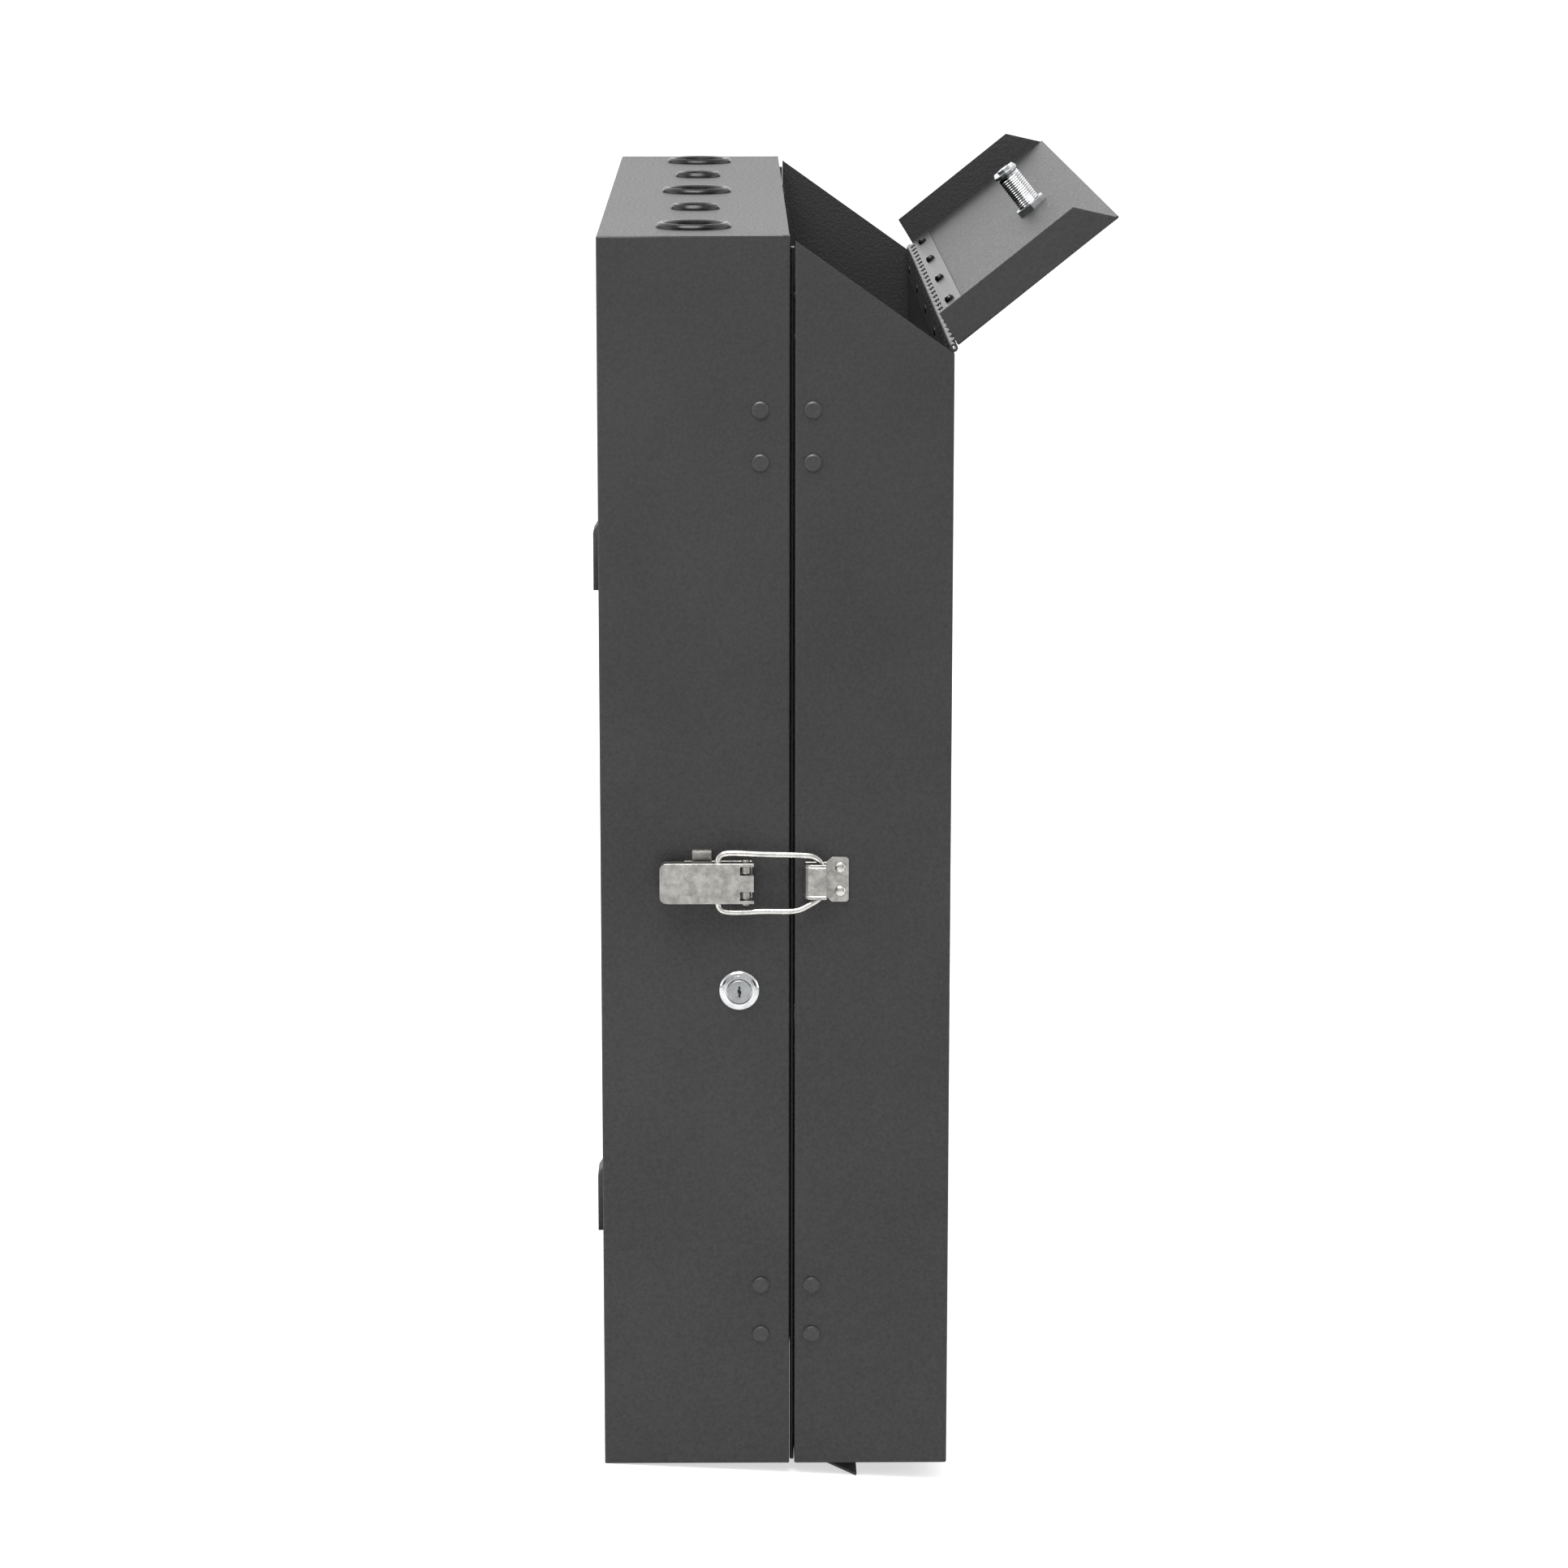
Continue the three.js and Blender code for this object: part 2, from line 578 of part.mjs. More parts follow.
const LATCH_KNUCKLES = [-7.4, 7.4];
const LATCH_KNUCKLE_HALF = 2.3;

function latchBase() {
  const seat = GAP / 6;
  const z0 = LATCH_Z - BASE.half;
  const z1 = LATCH_Z + BASE.half;
  let base = onWall(BASE.tail, BASE.nose, z0, z1, seat, BASE.thick);
  for (const centre of LATCH_KNUCKLES) {
    const low = LATCH_Z + centre - LATCH_KNUCKLE_HALF;
    const high = LATCH_Z + centre + LATCH_KNUCKLE_HALF;
    const post = onWall(LATCH_PIN.y - 1.5, LATCH_PIN.y + 1.5, low, high, BASE.thick / 2, LATCH_PIN.h);
    base = join(base, post, wallBar(LATCH_PIN.radius + 1.6, LATCH_PIN.y, LATCH_PIN.h, low, high));
  }
  const ear = join(
    onWall(-9.7, 1.6, z1 - 1, z1 + 7, seat, BASE.thick),
    onWall(-9.7, 1.6, z1 + 5.5, z1 + 7, seat, 5),
  );
  const pinHole = wallBar(LATCH_PIN.radius + GAP, LATCH_PIN.y, LATCH_PIN.h, z0 - OVER, z1 + OVER);
  const holes = baseRivets.map(([y, z]) =>
    bar(RIVET.hole, HALF - OVER, HALF + OVER, [0, y, z], LATCH_SIDE, COARSE));
  return cut(join(base, ear), pinHole, ...holes);
}

function latchLever() {
  const { tail, nose, half, top, skirt, sheet, corner } = LEVER;
  const rim = (inset) => [
    [nose, -half + inset],
    [nose, half - inset],
    ...arc(tail - corner, half - corner, corner - inset, 90, 0, 4),
    ...arc(tail - corner, corner - half, corner - inset, 0, -90, 4),
  ];
  const slab = (outline, h0, h1) => {
    const body = new THREE.ExtrudeGeometry(
      new THREE.Shape(outline.map(([y, z]) => new THREE.Vector2(y, z + LATCH_Z))),
      { depth: h1 - h0, bevelEnabled: false },
    );
    body.applyMatrix4(new THREE.Matrix4().makeBasis(Y_AXIS, Z_AXIS, X_AXIS));
    return solid(body.translate(-HALF - h1, 0, 0));
  };
  const shell = cut(slab(rim(0), skirt, top), slab(rim(sheet), skirt - OVER, top - sheet));
  const nosePlate = onWall(nose, nose + sheet, LATCH_Z - 4.6, LATCH_Z + 4.6, skirt, top);
  const barrel = wallBar(LATCH_PIN.radius + 1.6, LATCH_PIN.y, LATCH_PIN.h, LATCH_Z - 4.6, LATCH_Z + 4.6);
  const strap = onWall(nose, LATCH_PIN.y, LATCH_Z - 4.6, LATCH_Z + 4.6, LATCH_PIN.h - 1, LATCH_PIN.h + 1);
  const notches = LATCH_KNUCKLES.map((centre) => {
    const low = LATCH_Z + centre - LATCH_KNUCKLE_HALF - GAP;
    const high = LATCH_Z + centre + LATCH_KNUCKLE_HALF + GAP;
    return onWall(nose - OVER, nose + 8, low, high, 0, top + OVER);
  });
  const pinHole = wallBar(LATCH_PIN.radius + GAP, LATCH_PIN.y, LATCH_PIN.h, LATCH_Z - 20, LATCH_Z + 20);
  const pivot = wallBar(BAIL_WIRE + GAP, BAIL_PIVOT.y, BAIL_PIVOT.h, LATCH_Z - 20, LATCH_Z + 20);
  return cut(join(shell, nosePlate, barrel, strap), ...notches, pinHole, pivot);
}

/** The pin through the lever and the base's knuckles, headed at both ends. */
function latchPin() {
  const { y, h, radius, half } = LATCH_PIN;
  const profile = [
    [0, -half],
    [radius + 1, -half],
    [radius + 1, GAP + 1 - half],
    [radius, GAP + 1 - half],
    [radius, half - GAP - 1],
    [radius + 1, half - GAP - 1],
    [radius + 1, half],
    [0, half],
  ];
  return turned(profile, [-HALF - h, y, LATCH_Z], Z_AXIS, COARSE);
}

// the wire's centre line in y, z from the latch's middle, and h; both ends turn into the lever's skirts
const BAIL_PATH = [
  [-13.4, 9.6, 9.5], [-13.4, 13.5, 9.5], [-15, 16, 9.5], [-18, 17.2, 9.6], [-40, 16.4, 8.6], [-63, 15.4, 7.2],
  [-68, 14.6, 6.6], [-71.5, 12, 6], [-73.4, 8, 5.6], [-73.7, 0, 5.5], [-73.2, -8, 5.6], [-71, -10.8, 6],
  [-66, -13.8, 6.7], [-59, -17, 7.4], [-40, -17.2, 8.6], [-18, -17.2, 9.6], [-15, -16, 9.5],
  [-13.4, -13.5, 9.5], [-13.4, -9.6, 9.5],
];

function latchBail() {
  const points = BAIL_PATH.map(([y, z, h]) => new THREE.Vector3(-HALF - h, y, LATCH_Z + z));
  const path = new THREE.CatmullRomCurve3(points, false, 'centripetal');
  const section = new THREE.Shape(arc(0, 0, BAIL_WIRE, 0, 360 - 360 / TINY, TINY - 1)
    .map(([u, v]) => new THREE.Vector2(u, v)));
  const steps = 2 * (points.length - 1);
  return solid(new THREE.ExtrudeGeometry(section, { extrudePath: path, steps, bevelEnabled: false }));
}

/** The catch: a riveted plate, a floor under the bail's end bar, and a hook that curls over it. */
function latchCatch() {
  const { y0, lip, end, band, half, thick, rise } = CATCH;
  const seat = GAP / 6;
  const radius = 6;
  const bend = (r) => arc(y0 - radius, rise - radius, r, 0, 90, 5);
  const hook = [
    [y0, seat],
    ...bend(radius),
    [lip, rise],
    [lip, rise - thick],
    ...bend(radius - thick).reverse(),
    [y0 - thick, thick],
    [lip, thick],
    [lip, seat],
  ];
  const shoulder = 4;
  const plate = [
    [lip, -band],
    [lip - shoulder + 1, -half],
    [end + 1.2, -half],
    [end, 1.2 - half],
    [end, half - 1.2],
    [end + 1.2, half],
    [lip - shoulder + 1, half],
    [lip, band],
  ];
  const shape = new THREE.ExtrudeGeometry(
    new THREE.Shape(plate.map(([y, z]) => new THREE.Vector2(y, z + LATCH_Z))),
    { depth: thick - seat, bevelEnabled: false },
  );
  shape.applyMatrix4(new THREE.Matrix4().makeBasis(Y_AXIS, Z_AXIS, X_AXIS));
  const pad = solid(shape.translate(-HALF - thick, 0, 0));
  const holes = [-1, 1].map((side) => bar(
    RIVET.hole, HALF - OVER, HALF + OVER,
    [0, CATCH_RIVETS.y, LATCH_Z + side * CATCH_RIVETS.z], LATCH_SIDE, COARSE));
  return cut(join(wallPrism(hook, LATCH_Z - band, LATCH_Z + band), pad), ...holes);
}

/** The cover's striker: a bracket whose lug the side lock's cam turns down in front of. */
function lockStriker() {
  const { low, high, thick, lug, tongue, back, front, jog } = STRIKER;
  const wall = -INNER + GAP / 6;
  const outline = [
    [wall, front],
    [wall + thick, front],
    [wall + thick, jog - thick],
    [tongue + thick, jog - thick],
    [tongue + thick, back - thick],
    [lug, back - thick],
    [lug, back],
    [tongue, back],
    [tongue, jog],
    [wall, jog],
  ];
  return prism('z', outline, low, high);
}

// ---- the assembly ---------------------------------------------------------------------------------

add('rear_tray', rearTray(), paint());
bushingPlaces.forEach(({ x, size }, i) => add(`cable_bushing_${i + 1}`, bushing(x, size), nylon()));

add('front_cover', frontCover(), paint());
add('lock_striker', lockStriker(), zinc());

HINGE_HEIGHTS.forEach((z, i) => {
  const level = i ? 'upper' : 'lower';
  add(`hinge_leaf_tray_${level}`, hingeLeaf(z, 1), paint());
  add(`hinge_leaf_cover_${level}`, hingeLeaf(z, -1), paint());
  add(`hinge_pin_${level}`, hingePin(z), zinc());
  add(`filler_plate_tray_${level}`, fillerPlate(TRAY_RIVET_Y, z), zinc());
  add(`filler_plate_cover_${level}`, fillerPlate(COVER_RIVET_Y, z), zinc());
});
for (const [part, y] of [['tray', TRAY_RIVET_Y], ['cover', COVER_RIVET_Y]]) {
  for (const [place, side] of [['hinge', 1], ['latch', -1]]) {
    RIVET_HEIGHTS.forEach((z, i) => add(`rivet_${part}_${place}_${i + 1}`, wallRivet(side, y, z), paint()));
  }
}

add('hatch_panel', hatchPanel(), paint());
add('hatch_leaf_cover', pianoLeaf(0, lowerStrip), paint());
add('hatch_leaf_lid', pianoLeaf(1, upperStrip), paint());
const pinOrigin = [0, HATCH_Y, HATCH_Z];
add('hatch_pin', bar(PIANO.pin, -PIANO_LENGTH / 2, PIANO_LENGTH / 2, pinOrigin, X_AXIS, TINY), zinc());

const hatchLock = new THREE.Group();
hatchLock.position.set(0, ...onHatch(HATCH_LOCK_S, HATCH.outer));
hatchLock.rotation.x = Math.PI - HATCH_RISE;
model.add(hatchLock);
camLock('hatch_lock', HATCH_LOCK_LENGTH, SHEET, hatchLock, 0);

const sideLock = new THREE.Group();
sideLock.position.set(-HALF, SIDE_LOCK.y, SIDE_LOCK.z);
sideLock.rotation.y = -Math.PI / 2;
model.add(sideLock);
camLock('side_lock', SIDE_LOCK.length, SHEET, sideLock, -Math.PI / 2);

add('latch_base', latchBase(), plated());
add('latch_lever', latchLever(), plated());
add('latch_pin', latchPin(), plated());
add('latch_bail', latchBail(), plated());
add('latch_catch', latchCatch(), plated());
baseRivets.forEach(([y, z], i) => add(`latch_base_rivet_${i + 1}`, domeRivet(y, z, BASE.thick), plated()));
[-1, 1].forEach((side, i) => {
  const z = LATCH_Z + side * CATCH_RIVETS.z;
  add(`catch_rivet_${i + 1}`, domeRivet(CATCH_RIVETS.y, z, CATCH.thick), plated());
});

export default model;
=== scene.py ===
"""Looks for a slim lockable wall cabinet in sheet steel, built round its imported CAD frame."""

import json
import logging
import math
from dataclasses import dataclass
from enum import Enum
from typing import Callable, Iterable, Sequence

import bmesh
import bpy
from mathutils import Matrix, Vector


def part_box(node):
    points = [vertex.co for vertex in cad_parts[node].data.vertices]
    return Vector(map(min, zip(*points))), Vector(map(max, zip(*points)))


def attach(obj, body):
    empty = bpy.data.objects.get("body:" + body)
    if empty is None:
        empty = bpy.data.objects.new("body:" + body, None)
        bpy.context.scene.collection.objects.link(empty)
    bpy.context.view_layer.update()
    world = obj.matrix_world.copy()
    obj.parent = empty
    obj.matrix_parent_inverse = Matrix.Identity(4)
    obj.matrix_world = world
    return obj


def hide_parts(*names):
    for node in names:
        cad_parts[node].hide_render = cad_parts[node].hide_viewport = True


logging.basicConfig(level=logging.INFO, format="%(name)s: %(message)s")
log = logging.getLogger("wall_cabinet")

MM = 0.001
HANGER = 5 * MM  # how far the hangers stand off the tray's back panel
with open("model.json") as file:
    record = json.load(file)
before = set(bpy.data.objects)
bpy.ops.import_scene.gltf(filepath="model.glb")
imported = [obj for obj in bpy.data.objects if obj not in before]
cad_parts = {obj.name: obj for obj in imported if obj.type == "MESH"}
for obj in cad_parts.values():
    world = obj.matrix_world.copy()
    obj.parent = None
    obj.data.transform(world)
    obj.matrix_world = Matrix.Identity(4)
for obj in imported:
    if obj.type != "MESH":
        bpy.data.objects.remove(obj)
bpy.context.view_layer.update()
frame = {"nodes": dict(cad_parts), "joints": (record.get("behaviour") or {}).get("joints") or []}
NODES = frame["nodes"]
JOINTS = {joint["name"]: joint for joint in frame["joints"]}

# the bail wire from end to end in mm: along Y, up from the latch's middle, and out from the wall
BAIL_PATH = (
    (-13.4, 9.6, 9.5), (-13.4, 13.5, 9.5), (-15, 16, 9.5), (-18, 17.2, 9.6), (-40, 16.4, 8.6),
    (-63, 15.4, 7.2), (-68, 14.6, 6.6), (-71.5, 12, 6), (-73.4, 8, 5.6), (-73.7, 0, 5.5),
    (-73.2, -8, 5.6), (-71, -10.8, 6), (-66, -13.8, 6.7), (-59, -17, 7.4), (-40, -17.2, 8.6),
    (-18, -17.2, 9.6), (-15, -16, 9.5), (-13.4, -13.5, 9.5), (-13.4, -9.6, 9.5),
)

# the key slot's outline in mm, across the plug and up it; the black slab drawn in it is painted shade for the
# slot's hollow
KEYWAY = (
    (-0.6, 3.3), (0.5, 3.3), (0.5, 1.3), (1.1, 0.9), (1.1, -0.5), (0.4, -0.9),
    (0.4, -3.3), (-0.7, -3.3), (-0.7, -1.6), (-1.2, -1.1), (-1.2, 0.2), (-0.6, 0.7),
)


class Body(str, Enum):
    """The rigid bodies of the frame that pieces ride on."""

    REAR = "rear_half"
    FRONT = "front_half"
    LID = "hatch_lid"
    LID_CORE = "hatch_lock_core"
    SIDE_CORE = "side_lock_core"
    LEVER = "latch_lever"
    BAIL = "latch_bail"


class Slot(str, Enum):
    """The record's material slots."""

    PAINT = "textured_powder_coat"
    HARDWARE = "painted_hardware"
    NICKEL = "nickel_plate"
    CHROME = "chrome_plate"
    ZINC = "zinc_plate"
    NYLON = "black_nylon"


# ---- shared helpers ---------------------------------------------------------------------------------


def linear(colour: str) -> tuple[float, float, float, float]:
    """Turns an sRGB hex colour into linear light.

    Args:
        colour: Six hex digits after a hash.

    Returns:
        Red, green, blue and an alpha of 1.
    """
    channels = [int(colour[i : i + 2], 16) / 255 for i in (1, 3, 5)]
    low, high = 12.92, 1.055
    red, green, blue = (c / low if c <= 0.04045 else ((c + 0.055) / high) ** 2.4 for c in channels)
    return red, green, blue, 1.0


def add_node(tree: bpy.types.NodeTree, kind: str, settings: dict | None = None,
             links: dict | None = None) -> bpy.types.Node:
    """Adds a node with its settings and its incoming links.

    Args:
        tree: The tree that takes the node.
        kind: The node's type name.
        settings: Values by input name or number, or by property name. A colour ramp's own setting is
            "stops", a list of positions and sRGB hex colours.
        links: Source sockets by input name or number.

    Returns:
        The new node.
    """
    node = tree.nodes.new(kind)
    values = dict(settings or {})
    stops = values.pop("stops", [])
    for _ in stops[2:]:
        node.color_ramp.elements.new(0.5)
    for stop, (position, colour) in enumerate(stops):
        node.color_ramp.elements[stop].position = position
        node.color_ramp.elements[stop].color = linear(colour)
    for key in [k for k in values if isinstance(k, str) and hasattr(node, k)]:
        setattr(node, key, values.pop(key))
    for key, value in values.items():
        node.inputs[key].default_value = value
    for key, source in (links or {}).items():
        tree.links.new(source, node.inputs[key])
    return node


def new_object(name: str, mesh: bpy.types.Mesh) -> bpy.types.Object:
    """Links a mesh into the scene as an object at the origin.

    Args:
        name: The piece's name.
        mesh: Its mesh, in the frame's own coordinates.

    Returns:
        The new object.
    """
    piece = bpy.data.objects.new(name, mesh)
    bpy.context.scene.collection.objects.link(piece)
    return piece


def mesh_from(build: bmesh.types.BMesh, name: str, outward: bool = True) -> bpy.types.Mesh:
    """Writes a bmesh out as a smooth-shaded mesh.

    Args:
        build: The working mesh, which is freed.
        name: The new mesh's name.
        outward: Whether to turn every face outwards first.

    Returns:
        The finished mesh.
    """
    if outward:
        bmesh.ops.recalc_face_normals(build, faces=build.faces)
    mesh = bpy.data.meshes.new(name)
    build.to_mesh(mesh)
    build.free()
    return mesh


def set_down(piece: bpy.types.Object) -> None:
    """Applies a piece's modifiers, leaving a plain mesh.

    Args:
        piece: The object to flatten.
    """
    bpy.context.view_layer.update()
    evaluated = piece.evaluated_get(bpy.context.evaluated_depsgraph_get())
    mesh = bpy.data.meshes.new_from_object(evaluated, preserve_all_data_layers=True,
                                           depsgraph=bpy.context.evaluated_depsgraph_get())
    piece.modifiers.clear()
    piece.data = mesh


def shade(piece: bpy.types.Object, angle: float = 32.0) -> None:
    """Shades a piece smooth, with creases where faces meet more steeply than an angle.

    Args:
        piece: The object to shade.
        angle: The crease angle in degrees.
    """
    piece.data.shade_smooth()
    piece.data.set_sharp_from_angle(angle=math.radians(angle))


def dress(piece: bpy.types.Object, material: bpy.types.Material, body: Body,
          nodes: Iterable[str] = ()) -> bpy.types.Object:
    """Gives a piece its finish, its body and the CAD nodes that it stands for.

    Args:
        piece: The finished object.
        material: Its material.
        body: The body that it moves with.
        nodes: The CAD nodes that it replaces.

    Returns:
        The same object.
    """
    piece.data.materials.clear()
    piece.data.materials.append(material)
    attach(piece, body.value)
    if nodes:
        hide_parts(*nodes)
    log.info("%s rides on %s with %d faces", piece.name, body.value, len(piece.data.polygons))
    return piece


def facing(origin: Vector, axis: Vector) -> Matrix:
    """A matrix that carries local +Z onto an axis at a point.

    Args:
        origin: Where the local origin goes.
        axis: Where local +Z points.

    Returns:
        The placing matrix.
    """
    return Matrix.Translation(origin) @ axis.to_track_quat("Z", "Y").to_matrix().to_4x4()


def turned(name: str, profile: Sequence[tuple[float, float]], place: Matrix, sides: int = 48,
           closed: bool = False) -> bpy.types.Object:
    """Turns a profile about local Z.

    Args:
        name: The piece's name.
        profile: Radius and height pairs in metres, along the surface.
        place: Where the local axis goes.
        sides: How many steps make the turn.
        closed: Whether the profile joins up with its own start, as a ring's does.

    Returns:
        The new object.
    """
    build = bmesh.new()
    rings = []
    for radius, height in profile:
        if radius < 1e-6:
            rings.append([build.verts.new((0, 0, height))])
            continue
        turn = [2 * math.pi * i / sides for i in range(sides)]
        rings.append([build.verts.new((radius * math.cos(a), radius * math.sin(a), height)) for a in turn])
    pairs = list(zip(rings, rings[1:]))
    if closed:
        pairs.append((rings[-1], rings[0]))
    for lower, upper in pairs:
        for i in range(sides):
            j = (i + 1) % sides
            corners = list(dict.fromkeys((lower[i % len(lower)], lower[j % len(lower)],
                                          upper[j % len(upper)], upper[i % len(upper)])))
            if len(corners) > 2:
                build.faces.new(corners)
    build.transform(place)
    piece = new_object(name, mesh_from(build, name))
    shade(piece)
    return piece


def slab(name: str, outline: Sequence[Vector], depth: Vector, bevel: float = 0.0) -> bpy.types.Object:
    """Extrudes a flat outline and breaks its edges.

    Args:
        name: The piece's name.
        outline: Corners in the frame's coordinates.
        depth: The extrusion as a vector.
        bevel: How far the edges are rounded, in metres.

    Returns:
        The new object.
    """
    build = bmesh.new()
    face = build.faces.new([build.verts.new(corner) for corner in outline])
    raised = bmesh.ops.extrude_face_region(build, geom=[face])
    moved = [item for item in raised["geom"] if isinstance(item, bmesh.types.BMVert)]
    bmesh.ops.translate(build, verts=moved, vec=depth)
    piece = new_object(name, mesh_from(build, name))
    if bevel:
        modifier = piece.modifiers.new("edge_break", "BEVEL")
        modifier.width = bevel
        modifier.segments = 2
        modifier.limit_method = "ANGLE"
        modifier.angle_limit = math.radians(25)
        set_down(piece)
    shade(piece)
    return piece


def softened(node: str, name: str, edge: float, bend: float = 0.0,
             is_bend: Callable[[Vector], bool] | None = None, shortest: float = 0.0) -> bpy.types.Object:
    """Copies a CAD node's mesh and rounds its edges, the folded ones more than the cut ones.

    Args:
        node: The CAD node.
        name: The new piece's name.
        edge: The rounding of cut edges, in metres.
        bend: The rounding of folded edges, in metres.
        is_bend: Whether an edge with this midpoint is a fold.
        shortest: Edges shorter than this stay sharp, in metres.

    Returns:
        The new object.
    """
    build = bmesh.new()
    build.from_mesh(NODES[node].data)
    bmesh.ops.remove_doubles(build, verts=build.verts, dist=2e-6)
    widest = max(edge, bend)
    layer = build.edges.layers.float.new("bevel_weight_edge")
    for item in build.edges:
        steep = len(item.link_faces) == 2 and item.calc_face_angle(0) > math.radians(20)
        if not steep or item.calc_length() < shortest:
            continue
        middle = (item.verts[0].co + item.verts[1].co) / 2
        folded = is_bend is not None and is_bend(middle)
        item[layer] = (bend if folded else edge) / widest
    piece = new_object(name, mesh_from(build, name, outward=False))
    shade(piece, 25)
    modifier = piece.modifiers.new("edge_break", "BEVEL")
    modifier.width = widest
    modifier.segments = 3
    modifier.limit_method = "WEIGHT"
    modifier.use_clamp_overlap = False
    even = piece.modifiers.new("even_flats", "WEIGHTED_NORMAL")
    even.weight = 100
    even.keep_sharp = True
    set_down(piece)
    return piece


def rounded(points: Sequence[Vector], steps: int = 6) -> list[Vector]:
    """Points along a centripetal curve through a wire's own points.

    Args:
        points: The wire's centre line.
        steps: How many points lie between two given ones.

    Returns:
        The smooth centre line.
    """
    ends = [2 * points[0] - points[1], *points, 2 * points[-1] - points[-2]]
    line = []
    for a, b, c, d in zip(ends, ends[1:], ends[2:], ends[3:]):
        t1 = (b - a).length ** 0.5
        t2 = t1 + (c - b).length ** 0.5
        t3 = t2 + (d - c).length ** 0.5
        for i in range(steps):
            t = t1 + (t2 - t1) * i / steps
            first = a.lerp(b, t / t1)
            second = b.lerp(c, (t - t1) / (t2 - t1))
            third = c.lerp(d, (t - t2) / (t3 - t2))
            left = first.lerp(second, t / t2)
            right = second.lerp(third, (t - t1) / (t3 - t1))
            line.append(left.lerp(right, (t - t1) / (t2 - t1)))
    return [*line, points[-1]]


def tube(name: str, line: Sequence[Vector], radius: float) -> bpy.types.Object:
    """Sweeps a round section along a line and closes both ends.

    Args:
        name: The piece's name.
        line: The centre line.
        radius: The section's radius, in metres.

    Returns:
        The new object.
    """
    curve = bpy.data.curves.new(name, "CURVE")
    curve.dimensions = "3D"
    curve.bevel_depth = radius
    curve.bevel_resolution = 6
    curve.use_fill_caps = True
    spline = curve.splines.new("POLY")
    spline.points.add(len(line) - 1)
    for spot, point in zip(spline.points, line):
        spot.co = (*point, 1)
    carrier = bpy.data.objects.new(f"{name}_path", curve)
    bpy.context.scene.collection.objects.link(carrier)
    bpy.context.view_layer.update()
    depsgraph = bpy.context.evaluated_depsgraph_get()
    mesh = bpy.data.meshes.new_from_object(carrier.evaluated_get(depsgraph))
    bpy.data.objects.remove(carrier)
    piece = new_object(name, mesh)
    shade(piece, 50)
    return piece


# ---- finishes ---------------------------------------------------------------------------------------


class Finish:
    """What every finish shares: a material with Object coordinates and a principled surface."""

    name: str

    def start(self) -> tuple[bpy.types.Material, bpy.types.NodeTree, bpy.types.NodeSocket, bpy.types.Node]:
        """Makes the bare material.

        Returns:
            The material, its tree, its Object coordinate socket and its surface shader.
        """
        material = bpy.data.materials.new(self.name)
        material.use_nodes = True
        tree = material.node_tree
        tree.nodes.clear()
        surface = add_node(tree, "ShaderNodeBsdfPrincipled")
        add_node(tree, "ShaderNodeOutputMaterial", links={"Surface": surface.outputs["BSDF"]})
        place = add_node(tree, "ShaderNodeTexCoord")
        return material, tree, place.outputs["Object"], surface

    def tint(self, tree: bpy.types.NodeTree, surface: bpy.types.Node, pattern: bpy.types.NodeSocket,
             stops: Sequence[tuple[float, str]], sheen: dict[str, float]) -> None:
        """Colours a surface and sets its roughness from one pattern.

        Args:
            tree: The material's tree.
            surface: Its surface shader.
            pattern: The noise that drives both.
            stops: Positions along the pattern and their sRGB hex colours.
            sheen: Map range settings from the pattern to the roughness.
        """
        colour = add_node(tree, "ShaderNodeValToRGB", {"stops": stops}, {"Fac": pattern})
        tree.links.new(colour.outputs["Color"], surface.inputs["Base Color"])
        rough = add_node(tree, "ShaderNodeMapRange", sheen, {"Value": pattern})
        tree.links.new(rough.outputs["Result"], surface.inputs["Roughness"])


def grain(size_mm: float, detail: float, roughness: float = 0.5) -> dict[str, float]:
    """Noise settings whose features have a real size.

    Args:
        size_mm: The width of one feature.
        detail: How many finer layers it holds.
        roughness: How strong those layers are.

    Returns:
        The settings.
    """
    return {"Scale": 1 / (size_mm * MM), "Detail": detail, "Roughness": roughness}


def span(low: float, high: float, start: float = 0.0, end: float = 1.0) -> dict[str, float]:
    """Map range settings that carry one range onto another.

    Args:
        low: The result at the start.
        high: The result at the end.
        start: The value that gives the low result.
        end: The value that gives the high result.

    Returns:
        The settings.
    """
    return {"From Min": start, "From Max": end, "To Min": low, "To Max": high}


